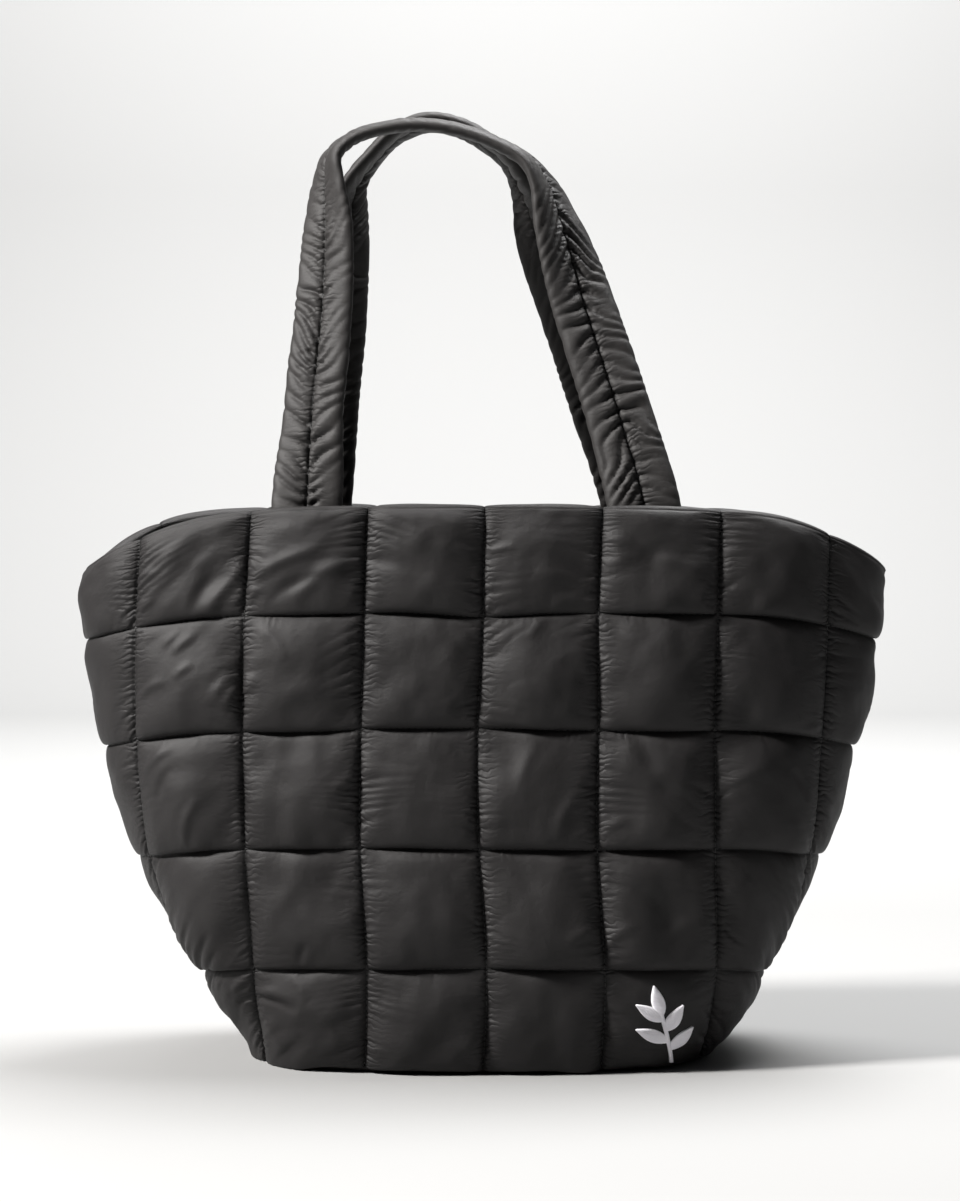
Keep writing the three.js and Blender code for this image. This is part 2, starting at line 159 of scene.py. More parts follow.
# %% Make a piece from arrays
def grid_faces(rows, columns, wrap=False):
    """Corner numbers of the squares between a grid's points, row by row. With wrap the last row joins the
    first."""
    number = np.arange(rows * columns).reshape(rows, columns)
    if wrap:
        number = np.vstack([number, number[:1]])
    a, b, c, d = number[:-1, :-1], number[:-1, 1:], number[1:, 1:], number[1:, :-1]
    return np.stack([a, b, c, d], -1).reshape(-1, 4)


def tube_ends(rows, columns):
    """The two end faces of a tube whose rows go round it and whose columns run along it."""
    first = np.arange(rows) * columns
    return [first, (first + columns - 1)[::-1]]


def make_piece(name, points, squares, ends=(), maps=None, flip=False):
    """A smooth mesh from an array of points, an array of four-cornered faces and a few faces with many
    corners. Each map is a UV map that holds lengths in metres, two for each point."""
    order = -1 if flip else 1
    corners = np.concatenate([squares[:, ::order].ravel(), *[np.asarray(end)[::order] for end in ends]])
    sizes = np.concatenate([np.full(len(squares), 4), [len(end) for end in ends]]).astype(np.int32)
    mesh = bpy.data.meshes.new(name)
    mesh.vertices.add(len(points))
    mesh.vertices.foreach_set("co", np.ascontiguousarray(points, np.float32).ravel())
    mesh.loops.add(len(corners))
    mesh.loops.foreach_set("vertex_index", corners.astype(np.int32))
    mesh.polygons.add(len(sizes))
    mesh.polygons.foreach_set("loop_start", np.concatenate([[0], np.cumsum(sizes)[:-1]]).astype(np.int32))
    mesh.polygons.foreach_set("loop_total", sizes)
    mesh.update(calc_edges=True)
    for title, uv in (maps or {}).items():
        layer = mesh.uv_layers.new(name=title)
        layer.data.foreach_set("uv", np.ascontiguousarray(uv[corners], np.float32).ravel())
    mesh.polygons.foreach_set("use_smooth", np.ones(len(sizes), bool))
    piece = bpy.data.objects.new(name, mesh)
    bpy.context.scene.collection.objects.link(piece)
    print(f"{name}: {len(points)} points, {len(sizes)} faces")
    return piece


# %% [markdown]
# ## The wall of a panel
#
# Each panel is half of the bag. Its level sections are quarter superellipses, which run from the middle of
# the panel to the side seam: flat across the front, with a soft corner and a short side. A place on the
# wall is a distance run along that section and a height counted in quilted rows.

# %% The middle surface of the wall
def quarter_sections(level):
    """x, y and run length along the quarter section of each level. x is the half width times the sine of an
    angle, y the half depth times its cosine, both to the power of two over the squareness."""
    angle = np.linspace(0, np.pi / 2, 181)
    power = 2 / read_smooth(SQUARENESS, level)[:, None]
    x = MOUTH_HALF_WIDTH * read_smooth(WIDTH, level)[:, None] * np.sin(angle) ** power
    y = MOUTH_HALF_DEPTH * read_smooth(DEPTH, level)[:, None] * np.maximum(np.cos(angle), 0) ** power
    steps = np.hypot(np.diff(x, axis=1), np.diff(y, axis=1))
    run = np.concatenate([np.zeros((len(level), 1)), np.cumsum(steps, axis=1)], axis=1)
    return x, y, run


def interpolate_rows(query, run, values):
    """Reads each row of values at its own row of run lengths. The rows are laid end to end so that one call
    serves them all."""
    shift = np.arange(len(run))[:, None] * (run.max() + 1.0)
    return np.interp((query + shift).ravel(), (run + shift).ravel(), values.ravel()).reshape(query.shape)


def half_lengths(level):
    """Run length from the middle of a panel to its side seam, at each level."""
    return quarter_sections(np.atleast_1d(level))[2][:, -1]


def wall_points(panel, distance, level):
    """Points in the middle of the wall for a grid of distances, with one level to a row: the section's x
    and y, and a height that drops towards the side seams by a power of the distance from the middle."""
    x, y, run = quarter_sections(level)
    reach = np.minimum(np.abs(distance), run[:, -1:])
    px, py = interpolate_rows(reach, run, x), interpolate_rows(reach, run, y)
    left, right = DROP_BENDS[panel]
    bend = np.where(distance < 0, left, right)
    drop = SIDE_DROP * read_smooth(DROP, level)[:, None] * (px / x[:, -1:]) ** bend
    sway = LOWER_SWAY * read_smooth(SWAY, level)[:, None]
    height = WALL_FOOT + WALL_HEIGHT * read_smooth(HEIGHT, level)[:, None]
    side = SIDE_OF[panel]
    return np.stack([np.sign(distance) * px + sway, side * (py - SIDE_OVERLAP / 2), height - drop], -1)


def seam_distances(level):
    """Distances of the upright seams from the middle line, one row for each level, from side seam to side
    seam."""
    half = half_lengths(level)[:, None]
    k = np.arange(1, HALF_CELLS + 1)[None, :]
    farthest = half - (HALF_CELLS + 1 - k) * NARROWEST_STRIP
    right = np.concatenate([np.minimum(k * CELL, farthest), half], axis=1)
    return np.concatenate([-right[:, ::-1], np.zeros_like(half), right], axis=1)


# %% [markdown]
# ## The swelling of the quilted squares
#
# Between two seams the padding lifts the nylon quickly and then rounds over. One curve for each direction
# gives that shape, and their product is the pillow. The cloth also hangs a little over the seam below it,
# which makes the level seams crisp. A few dents, placed where the photograph shows the bag pushed in, press
# the padding down again.

# %% The pillow shape
def pillow(share):
    """Rise of a pillow from one seam (share 0) to the next (share 1), for the distance from its middle,
    which is 1 at a seam: a part of it is a parabola, one minus the distance squared, and the rest is the
    root of one minus the distance to the sixth power, so that it leaves the seam steeply and is round on
    top."""
    away = np.minimum(np.abs(2 * share - 1), 1)
    return 0.6 * (1 - away**2) + 0.4 * np.sqrt(1 - away**6)


def sagging(row_share):
    """How far the cloth hangs down over the seam below it, as a share of the sag: nothing at the seam, all
    of it a little above the seam, and fading out higher up."""
    place = row_share / SAG_PLACE
    return place * np.exp(1 - place)


def pillow_at_rim(share):
    """The top squares rise from their seam as the others do, and keep half of their swelling at the rim."""
    return np.where(share < 0.5, pillow(share), 0.5 + 0.5 * pillow(0.5 + 0.5 * np.abs(2 * share - 1) ** 1.6))


def dented(across, up):
    """The share of the swelling that every dent leaves: one minus its depth times a bell curve of the
    distance."""
    away = np.hypot(across[..., None] - DENTS[:, 0], up[..., None] - DENTS[:, 1]) / DENTS[:, 2]
    return np.prod(1 - DENTS[:, 3] * np.exp(-away**2), axis=-1)


print("swelling from a seam to the next:", pillow(np.linspace(0, 1, 6)).round(2))

# %% [markdown]
# ## The folds
#
# Larger folds cross the squares where the bag was pressed or lifted. Noise would put them anywhere, so those
# of the front are listed one by one, one row of the table to a fold. The back isn't seen, and there they are
# drawn from a seed.

# %% The folds
# columns: across and up of one end and of the other end in cells, width and height in millimetres
FOLDS = np.array([
    [-1.94, 4.31, -1.41, 4.56, 4.0, 1.3],
    [-1.56, 4.19, -1.06, 4.47, 5.0, 1.6],
    [-1.78, 4.16, -1.28, 4.34, 4.0, -1.2],
    [-2.00, 4.12, -1.84, 4.25, 3.0, 0.9],
    [-1.00, 4.47, -0.59, 4.34, 5.0, -1.0],
    [-0.25, 4.56, -0.06, 4.44, 3.5, 0.9],
    [-0.53, 4.25, -0.06, 4.12, 5.0, 1.0],
    [0.03, 4.50, 0.25, 4.56, 3.0, 0.9],
    [0.47, 4.34, 0.91, 4.22, 4.0, 1.0],
    [0.62, 4.12, 0.94, 4.12, 3.0, 0.8],
    [1.00, 4.66, 1.34, 4.53, 4.0, 1.0],
    [1.03, 4.41, 1.31, 4.47, 4.0, 0.7],
    [1.47, 4.47, 1.84, 4.34, 4.0, 1.0],
    [-2.31, 4.03, -2.09, 4.34, 4.5, 1.6],
    [-2.12, 4.34, -1.94, 4.44, 4.0, 1.4],
    [-2.44, 4.09, -2.25, 4.38, 5.0, -1.5],
    [-2.09, 4.12, -1.91, 4.25, 3.5, 1.2],
    [-2.44, 4.44, -2.12, 4.62, 6.0, 0.8],
    [-3.03, 4.47, -2.75, 4.47, 3.0, 1.0],
    [-3.03, 4.38, -2.88, 4.41, 2.5, 0.8],
    [-3.00, 4.16, -2.81, 4.22, 3.0, 0.9],
    [-2.59, 3.72, -2.41, 3.84, 3.5, 1.2],
    [-2.69, 3.78, -2.56, 3.88, 3.0, 0.9],
    [-2.56, 3.50, -2.41, 3.59, 3.0, 1.0],
    [-2.22, 3.25, -2.09, 3.50, 4.0, 1.3],
    [-2.16, 3.22, -1.88, 3.44, 4.0, 1.5],
    [-2.25, 3.38, -1.94, 3.56, 5.0, -1.2],
    [-1.84, 3.91, -1.62, 3.62, 4.0, 1.0],
    [-2.91, 3.38, -2.66, 3.47, 3.0, 1.0],
    [-1.75, 3.25, -1.25, 3.38, 6.0, 0.7],
    [0.41, 3.78, 0.56, 3.97, 4.0, 0.7],
    [0.72, 3.59, 0.91, 3.34, 6.0, -1.2],
    [-1.22, 2.50, -1.00, 2.59, 4.0, 1.0],
    [0.34, 2.50, 0.47, 2.88, 4.0, 0.7],
    [0.66, 2.09, 0.81, 2.47, 4.0, 0.9],
    [0.78, 2.12, 1.00, 2.16, 2.5, 0.8],
    [1.03, 2.16, 1.22, 2.25, 3.0, 1.0],
    [-2.84, 2.75, -2.59, 2.91, 3.5, 1.2],
    [-2.72, 2.47, -2.62, 2.72, 3.5, -1.0],
    [-2.50, 2.09, -2.38, 2.44, 3.5, 1.0],
    [-2.17, 0.69, -2.00, 0.75, 2.5, -1.6],
    [-2.03, 0.75, -1.59, 0.66, 2.5, -1.6],
    [-2.06, 0.81, -1.62, 0.75, 3.0, 1.2],
    [-1.66, 0.97, -1.50, 0.75, 3.0, 1.0],
    [-1.50, 0.75, -1.22, 0.38, 3.0, 1.0],
    [-1.94, 0.62, -1.69, 0.28, 4.0, 1.2],
    [-2.19, 0.84, -1.97, 0.94, 3.0, 1.0],
    [-1.56, 1.09, -1.50, 1.25, 3.0, -0.8],
    [1.00, 1.22, 1.28, 1.41, 3.5, 1.2],
    [0.69, 1.25, 0.94, 1.38, 3.5, 0.9],
    [1.50, 1.28, 1.81, 1.44, 4.0, 1.0],
    [1.09, 1.75, 1.50, 1.56, 5.0, -0.9],
    [1.19, 3.09, 1.50, 2.66, 6.0, -0.9],
    [1.34, 2.66, 1.78, 2.50, 5.0, 0.8],
    [2.09, 2.50, 2.38, 2.69, 4.0, 1.0],
    [2.66, 2.69, 2.81, 2.47, 3.5, -1.0],
    [2.00, 1.56, 2.25, 1.78, 4.0, 1.0],
])


def scattered_folds(count, seed):
    """Folds like those of the table for a panel that isn't seen in the photograph: short, and more often
    level or aslant than upright, with their places, directions and sizes drawn from a seed."""
    draw = np.random.default_rng(seed)
    middle = draw.uniform((-3.2, 0.2), (3.2, 4.8), (count, 2))
    lean, half = draw.uniform(-1.0, 1.0, count), draw.uniform(0.08, 0.24, count)
    step = np.stack([np.cos(lean), np.sin(lean)], -1) * half[:, None]
    width, rise = draw.uniform(2.5, 5.0, count), draw.uniform(0.7, 1.4, count)
    rise = rise * draw.choice([-1, 1], count)
    return np.column_stack([middle - step, middle + step, width, rise])


FOLD_BEND = 0.06  # how far a fold's line bows sideways, as a share of its length
BLUNT_END = 0.8  # how fast a fold fades out beyond its ends, against how it fades sideways


def folded(across, up, folds):
    """Height of all folds at each place, in metres: a bell curve of the distance to the fold's line, which
    keeps its height along the line and fades out beyond both ends. The height along the line is part of a
    sine."""
    height = np.zeros(across.shape)
    for x0, y0, x1, y1, width, rise in folds:
        line = np.array([x1 - x0, y1 - y0])
        length = np.linalg.norm(line)
        along = ((across - x0) * line[0] + (up - y0) * line[1]) / length
        aside = ((across - x0) * line[1] - (up - y0) * line[0]) / length
        aside = aside + FOLD_BEND * np.sin(np.pi * along / length) * length
        beyond = np.maximum(np.maximum(-along, along - length), 0)
        away = np.hypot(aside, beyond * BLUNT_END) * CELL * 1000 / width
        share = np.clip(along / length, -0.1, 1.1)
        height += rise / 1000 * np.exp(-(away**2)) * np.clip(np.sin(np.pi * share * 0.8 + 0.3), 0, 1)
    return height


print(f"folds of the front: {len(FOLDS)}")

# %% [markdown]
# ## The grid of one panel
#
# The same number of grid lines runs through every square, wide or narrow, so each seam is a line of the
# grid. That lets the seams stay sharp, and lets stitches and puckers follow them.

# %% The grid of one panel
OUTER_STRIP_PUFF = 0.75  # the strips beside the side seams hold less padding


def panel_grid(panel, fine):
    """The wall of a panel on a grid with fine squares to a seam spacing: middle surface, outward direction,
    swelling from 0 to 1, run length and height counted in rows."""
    strips = 2 * (HALF_CELLS + 1)
    level = np.arange(TOP * fine + 1) / fine
    column = np.arange(strips * fine + 1)
    strip = np.minimum(column // fine, strips - 1)
    share = column / fine - strip
    seams = seam_distances(level)
    distance = seams[:, strip] * (1 - share) + seams[:, strip + 1] * share
    width = np.minimum((seams[:, strip + 1] - seams[:, strip]) / CELL, 1)
    width = np.where((strip == 0) | (strip == strips - 1), OUTER_STRIP_PUFF * width, width)
    row = np.minimum(np.floor(level).astype(int), TOP - 1)
    sunk = (level - row) ** SINK
    upward = np.where(row == TOP - 1, pillow_at_rim(sunk), pillow(sunk))
    swelling = pillow(share)[None, :] * upward[:, None] * width
    if panel == "front":
        swelling = swelling * dented(distance / CELL, np.broadcast_to(level[:, None], distance.shape))
    wall = wall_points(panel, distance, level)
    out = unit(np.cross(np.gradient(wall, axis=1), np.gradient(wall, axis=0))) * -SIDE_OF[panel]
    return wall, out, swelling, distance, level


# %% [markdown]
# ## How the nylon wrinkles
#
# The nylon is cut larger than the square that it covers, and stitched down along straight seams. The extra
# length has to go somewhere: in the middle of a square the padding fills it out, and beside a seam it
# stands up in puckers. This is what the next function works out. It treats the nylon as a net of threads
# that don't stretch, holds the seams, lets the padding push, and moves the points again and again until the
# threads have their length. It starts on a coarse net, which finds the large folds, and repeats on finer
# ones, which find the puckers.

# %% Settle a net of cloth
CARRIES_ON = 0.6  # share of its last move that a point repeats
ALONG_THREADS = (0.9, 0.7)  # share of a thread's error that a round takes away, stretched and squeezed
ASLANT = (0.3, 0.15)  # the same across the squares of the net, where woven cloth gives more easily


def draw_to_length(a, b, length, stretched, squeezed):
    """Moves the points of a and b along the line between them towards their thread's length apart, by one
    share of the error where it is stretched and by another where it is squeezed."""
    between = b - a
    now = np.sqrt((between * between).sum(-1))
    error = 1 - length / np.maximum(now, 1e-9)
    move = between * (0.5 * error * np.where(error > 0, stretched, squeezed))[..., None]
    a += move
    b -= move


def every_other(count, first):
    """Two slices that take the lower and the upper one of each pair of neighbours, with pairs from the
    first on."""
    pairs = (count - first) // 2
    return slice(first, first + 2 * pairs, 2), slice(first + 1, first + 1 + 2 * pairs, 2)


def settle(cloth, rest, out, held, along, up, rounds, push, filling, stiffness):
    """Cloth as a net of threads over padding. Each round carries the last move on, pushes outwards, draws
    the threads along and up the net and across its squares to their lengths, smooths what departs from the
    padding's own shape, pulls a little towards that shape, and puts the held points back."""
    across = np.hypot((along[:-1] + along[1:]) / 2, (up[:, :-1] + up[:, 1:]) / 2)
    before = cloth.copy()
    for _ in range(rounds):
        step = cloth - before
        before = cloth.copy()
        cloth += CARRIES_ON * step + push * out
        for first in (0, 1):
            lower, upper = every_other(cloth.shape[1], first)
            draw_to_length(cloth[:, lower], cloth[:, upper], along[:, lower], *ALONG_THREADS)
        for first in (0, 1):
            lower, upper = every_other(cloth.shape[0], first)
            low, high = cloth[lower], cloth[upper]
            draw_to_length(low, high, up[lower], *ALONG_THREADS)
            draw_to_length(low[:, :-1], high[:, 1:], across[lower], *ASLANT)
            draw_to_length(low[:, 1:], high[:, :-1], across[lower], *ASLANT)
        offset = cloth - rest
        smooth = offset.copy()
        smooth[1:-1, 1:-1] = (offset[:-2, 1:-1] + offset[2:, 1:-1] + offset[1:-1, :-2] + offset[1:-1, 2:]) / 4
        cloth += stiffness * (smooth - offset) - filling * offset
        cloth[held] = rest[held]
    return cloth


def net_lengths(points, extra_along, extra_up):
    """Lengths of the threads along and up a net, longer than the surface that they cover by an extra share,
    which is given at the points."""
    along = np.linalg.norm(np.diff(points, axis=1), axis=-1)
    up = np.linalg.norm(np.diff(points, axis=0), axis=-1)
    along *= 1 + (extra_along[:, 1:] + extra_along[:, :-1]) / 2
    up *= 1 + (extra_up[1:] + extra_up[:-1]) / 2
    return along.astype(np.float32), up.astype(np.float32)


def finer(field):
    """The field on a net of half the spacing: its own values with the mean of each two between them."""
    for axis in (0, 1):
        field = np.moveaxis(field, axis, 0)
        wide = np.empty((2 * len(field) - 1, *field.shape[1:]))
        wide[::2] = field
        wide[1::2] = (field[:-1] + field[1:]) / 2
        field = np.moveaxis(wide, 0, axis)
    return field


print("a net of 5 by 9 points, made finer:", finer(np.zeros((5, 9, 3))).shape[:2])

# %% [markdown]
# ## The two quilted panels
#
# A panel's net goes up the outside and over the rim. No two squares are filled alike, and the seams wander
# a little from their straight lines, as sewn seams do. Beside the upright seams the cloth is gathered in
# fans. All of this is given to the net as the padding's own shape, together with the extra length of its
# threads, and the net then finds its wrinkles by itself.

# %% How the nylon is cut, gathered and filled
# threads to a square on the coarsest net
NET = {"front": 16, "back": 12}
RIM_SHARE = 0.25  # length of the rounded rim, as a share of a square
LOOSE = 0.012  # how much longer the nylon is than the pillow that it covers
GATHERS = {"upright": 0.10, "level": 0.05}  # how much more of it is gathered in at a seam
GATHER_REACH = 0.0045  # how fast the gathers fade away from their seam
LONG_GATHERS = 0.02  # gathers that run further into the squares
LONG_REACH = 0.020
FULLNESS_VARIES = 0.16  # from one square to the next
LUMPS = 0.14  # of the padding within a square
SEAM_DRIFT = np.array([0.0014, 0.0016, 0.0014])  # how far the seams wander along each axis
DRIFT_FADES = 0.03  # towards the side seams
FAN_HEIGHT = 0.0011  # ridges that fan out from the upright seams
FAN_PITCH = 0.009
FAN_REACH = 0.012
WAVE_HEIGHTS = (0.0013, 0.0005)  # slow waves, broad and narrow, across a square
SEEDS = {"front": 11, "back": 47}
BACK_FOLDS = 46
# columns: rounds, push in metres a round, pull of the filling, stiffness; one row for each net
STAGES = [(120, 0.00002, 0.02, 0.04), (100, 0.00001, 0.012, 0.06), (70, 0.000005, 0.008, 0.08)]
BUMPS = [0.0009, 0.0005, 0.0002]  # height of the random bumps that each net starts with
print("threads to a square on the finest nets:", {side: 4 * count for side, count in NET.items()})


# %% The padding's own shape
def beside_seams(distance, level, fine):
    """How far each place is from the nearest upright seam, and from the nearest level seam, in metres. The
    rim isn't a seam."""
    share = np.arange(distance.shape[1]) / fine % 1
    row = level % 1
    to_level = np.where(level > TOP - 1, np.where(level == TOP, 1, row), np.minimum(row, 1 - row))
    upright = np.minimum(share, 1 - share)[None, :] * np.gradient(distance, axis=1) * fine
    return {"upright": upright, "level": np.broadcast_to(to_level[:, None] * CELL, distance.shape)}


def seam_fans(u, v, to_upright, seed):
    """Ridges that leave the upright seams a little aslant: the size of a sine along the seam, with an
    uneven pitch, which fades away from the seam and comes and goes along it."""
    lean = 0.7 * soft_noise(v * 2.1, np.floor(u + 0.5), seed + 15) * to_upright
    uneven_pitch = 1.8 * soft_noise(v * 3.1, np.floor(u + 0.5) + 0.5 * u, seed + 13)
    ridges = np.abs(np.sin(np.pi * ((v * CELL + lean) / FAN_PITCH + uneven_pitch))) ** 0.8 - 0.5
    strength = np.clip(soft_noise(v * 3.6, u * 1.9, seed + 14) + 0.25, 0, 1)
    return FAN_HEIGHT * ridges * strength * np.exp(-to_upright / FAN_REACH)


def outer_offset(panel, u, v, swelling, to_upright):
    """How far the outer face stands before the middle of the wall: half the seam, the swelling with its
    uneven filling, the folds, the fans and two slow waves."""
    seed = SEEDS[panel]
    fullness = 1 + FULLNESS_VARIES * soft_noise(np.floor(u) * 3.7, np.floor(v) * 5.3, seed)
    lump = 1 + LUMPS * soft_noise(u * 2.6, v * 2.6, seed + 1)
    folds = FOLDS if panel == "front" else scattered_folds(BACK_FOLDS, seed + 12)
    creases = folded(u, v, folds) * np.clip(swelling * 2.5, 0, 1)
    broad = WAVE_HEIGHTS[0] * soft_noise(u * 3.3 + 0.5 * v, v * 2.9, seed + 7)
    narrow = WAVE_HEIGHTS[1] * soft_noise(u * 7.1, v * 6.3, seed + 8)
    detail = (broad + narrow + seam_fans(u, v, to_upright, seed)) * np.clip(swelling * 2, 0, 1)
    return SEAM_THICKNESS / 2 + PUFF_OUT * swelling * fullness * lump + creases + detail


def rolled_rim(wall_top, out_top, offset_top, fine):
    """Rows beyond the rim: a half ellipse from the outer to the inner face, lower where an upright seam
    meets it."""
    rim_rows = round(RIM_SHARE * fine)
    turn = (np.arange(1, rim_rows + 1) / rim_rows * np.pi)[:, None, None]
    middle = (offset_top - HEM_THICKNESS)[None, :, None] / 2
    reach = (offset_top + HEM_THICKNESS)[None, :, None] / 2
    strip_share = np.arange(len(offset_top)) / fine % 1
    height = RIM_ROUND * (0.45 + 0.55 * pillow(strip_share))[None, :, None]
    return wall_top + out_top * (middle + reach * np.cos(turn)) + np.array([0, 0, 1]) * height * np.sin(turn)


# %% The net of one panel
def extra_threads(u, v, away, seed):
    """Extra length of the threads along and up the net, as a share: the looseness, and gathers that fade
    with an exponential away from the seam that the threads cross, short ones and long ones."""
    uneven = 1 + 0.8 * soft_noise(u * 5.1, v * 5.1, seed + 9)
    patchy = 1 + soft_noise(u * 2.3, v * 2.3, seed + 10)
    extras = []
    for seam in ("level", "upright"):
        short = GATHERS[seam] * uneven * np.exp(-away[seam] / GATHER_REACH)
        long = LONG_GATHERS * patchy * np.exp(-away[seam] / LONG_REACH)
        extras.append(LOOSE + short + long)
    return extras


def panel_net(panel, fine):
    """The outer cloth's own shape on a grid: the wall, moved by slow noise, plus the offset in the outward
    direction, less the sag, and the rolled rim. Gives also the outward directions, the held points and the
    threads' lengths."""
    seed = SEEDS[panel]
    wall, out, swelling, distance, level = panel_grid(panel, fine)
    u, v = distance / CELL, np.broadcast_to(level[:, None], distance.shape)
    to_side = half_lengths(level)[:, None] - np.abs(distance)
    edge = np.clip(to_side / DRIFT_FADES, 0, 1) * np.clip(v / 0.5, 0, 1)
    drift = np.stack([soft_noise(u * 1.3 + 9 * k, v * 1.3, seed + 2 + k) for k in range(3)], -1)
    wall = wall + edge[..., None] * drift * SEAM_DRIFT
    away = beside_seams(distance, level, fine)
    offset = outer_offset(panel, u, v, swelling, away["upright"])
    outer = wall + out * offset[..., None]
    sag = np.where(level < 1, FOOT_SAG, SAG) * sagging(level % 1) * (level < TOP)
    uneven_sag = 1 + 0.3 * soft_noise(u * 2.3, np.floor(v), seed + 16)
    outer[..., 2] -= sag[:, None] * np.clip(swelling * 6, 0, 1) * uneven_sag
    rim = rolled_rim(wall[-1], out[-1], offset[-1], fine)

    def over_rim(field):
        """The field with its last row repeated for the rim."""
        return np.concatenate([field, np.broadcast_to(field[-1:], (len(rim), *field.shape[1:]))])

    seam = np.zeros(outer.shape[:2], bool)
    seam[:-1:fine] = True
    seam[:, ::fine] = True
    held = over_rim(seam)
    held[-1] = True
    net = np.concatenate([outer, rim])
    lengths = net_lengths(net, *[over_rim(extra) for extra in extra_threads(u, v, away, seed)])
    return net.astype(np.float32), over_rim(out).astype(np.float32), held, lengths


def quilted_cloth(panel):
    """Settles the outer cloth on three nets, each twice as fine as the one before, and keeps it off the
    floor."""
    seed = SEEDS[panel]
    moved = None
    for stage, (rounds, push, filling, stiffness) in enumerate(STAGES):
        fine = NET[panel] * 2**stage
        rest, out, held, (along, up) = panel_net(panel, fine)
        y, x = np.mgrid[0 : rest.shape[0], 0 : rest.shape[1]] / fine
        bump = BUMPS[stage] * soft_noise(x * 8 * 2**stage, y * 8 * 2**stage, seed + 20 + stage)
        start = out * bump[..., None]
        if moved is not None:
            start = start + finer(moved)
        cloth = (rest + start).astype(np.float32)
        cloth[held] = rest[held]
        settle(cloth, rest, out, held, along, up, rounds, push, filling, stiffness)
        cloth[..., 2] = np.maximum(cloth[..., 2], FLOOR_GAP)
        moved = cloth - rest
    return cloth, fine


# %% [markdown]
# ## Closing a panel
#
# A padded wall has two faces. The settled cloth is the outer one. The inner face is seen only through the
# mouth, so it is plainer and has fewer rows. Together they make a tube that is closed at both side seams.

# %% The whole panel
INNER_STEP = 8  # the inner face keeps every eighth row
HEM_FADES = 0.3  # how far above the topmost level seam the inner face is plain, as a share of a row
INNER_CREASE = 0.0006
INNER_CREASE_PITCH = 0.011


def inner_face(panel, fine):
    """The wall less half the seam's thickness and the inward swelling, plain near the rim, with shallow
    creases."""
    wall, out, swelling, distance, level = panel_grid(panel, fine)
    hem = np.clip((level - (TOP - 1)) / HEM_FADES, 0, 1)
    hem = (hem * hem * (3 - 2 * hem))[:, None]
    noise = soft_noise(distance / INNER_CREASE_PITCH, level[:, None] * 5, SEEDS[panel] + 30)
    crease = INNER_CREASE * noise * np.minimum(swelling * 3, 1)
    offset = (SEAM_THICKNESS / 2 + PUFF_IN * swelling) * (1 - hem) + HEM_THICKNESS * hem + crease
    return wall - out * offset[..., None], distance, level


def quilted_panel(panel):
    """A closed panel: the settled outer cloth and rim, then the inner face from the rim down to the foot.
    One map holds distance and height along the cloth, the other how far the upright and level seams are."""
    cloth, fine = quilted_cloth(panel)
    inner, distance, level = inner_face(panel, fine)
    keep = np.arange(TOP * fine, -1, -INNER_STEP)[1:]
    points = np.concatenate([cloth, inner[keep]])
    rows, columns = points.shape[:2]
    rim_rows = len(cloth) - len(level)
    heights = np.concatenate([level, np.linspace(TOP, TOP + RIM_SHARE, rim_rows), level[keep]])
    run = np.concatenate([distance, np.broadcast_to(distance[-1], (rim_rows, columns)), distance[keep]])
    away = beside_seams(run, np.minimum(heights, TOP), fine)
    maps = {
        "cloth": np.stack([run, np.broadcast_to(heights[:, None] * CELL, run.shape)], -1).reshape(-1, 2),
        "seams": np.stack([away["upright"], away["level"]], -1).reshape(-1, 2),
    }
    squares = grid_faces(rows, columns, wrap=True)
    ends = tube_ends(rows, columns)
    name = f"{panel}_panel_quilted"
    piece = make_piece(name, points.reshape(-1, 3), squares, ends, maps, flip=panel == "back")
    return piece, cloth, fine


panels, cloths, fineness = {}, {}, {}
for panel in ("front", "back"):
    panels[panel], cloths[panel], fineness[panel] = quilted_panel(panel)


# %% [markdown]
# ## The handles
#
# Each handle is a padded strap, folded over and stitched through along its middle, so it has two soft
# lobes. The stitching gathers the nylon, and because the upper layer creeps forward under the needle, the
# gathers lie aslant and meet at the stitching like the barbs of a feather. The strap's outline is carried
# along a smooth line through a few chosen stations. At the feet it lies flat inside the mouth. At the arch
# it has turned on edge, and there the two handles lean together.

# %% The line of each handle
STRAP_WIDTH = 0.040
STRAP_THICKNESS = 0.0066
STITCHED_THICKNESS = 0.0022
FOOT_FLARE = 0.004  # how much wider the strap is where it lies flat at its foot
FOOT_SPREAD = 0.101
FOOT_DEPTH = 0.042  # how far the foot reaches down inside the mouth
FOOT_CLEARANCE = 0.0009
HANDLE_RISE = 0.236
HANDLE_GAP = 0.001  # between the two handles where they lean together
FEET = {"front": (-1.065, 0.95), "back": (-1.07, 0.97)}  # across, as shares of FOOT_SPREAD

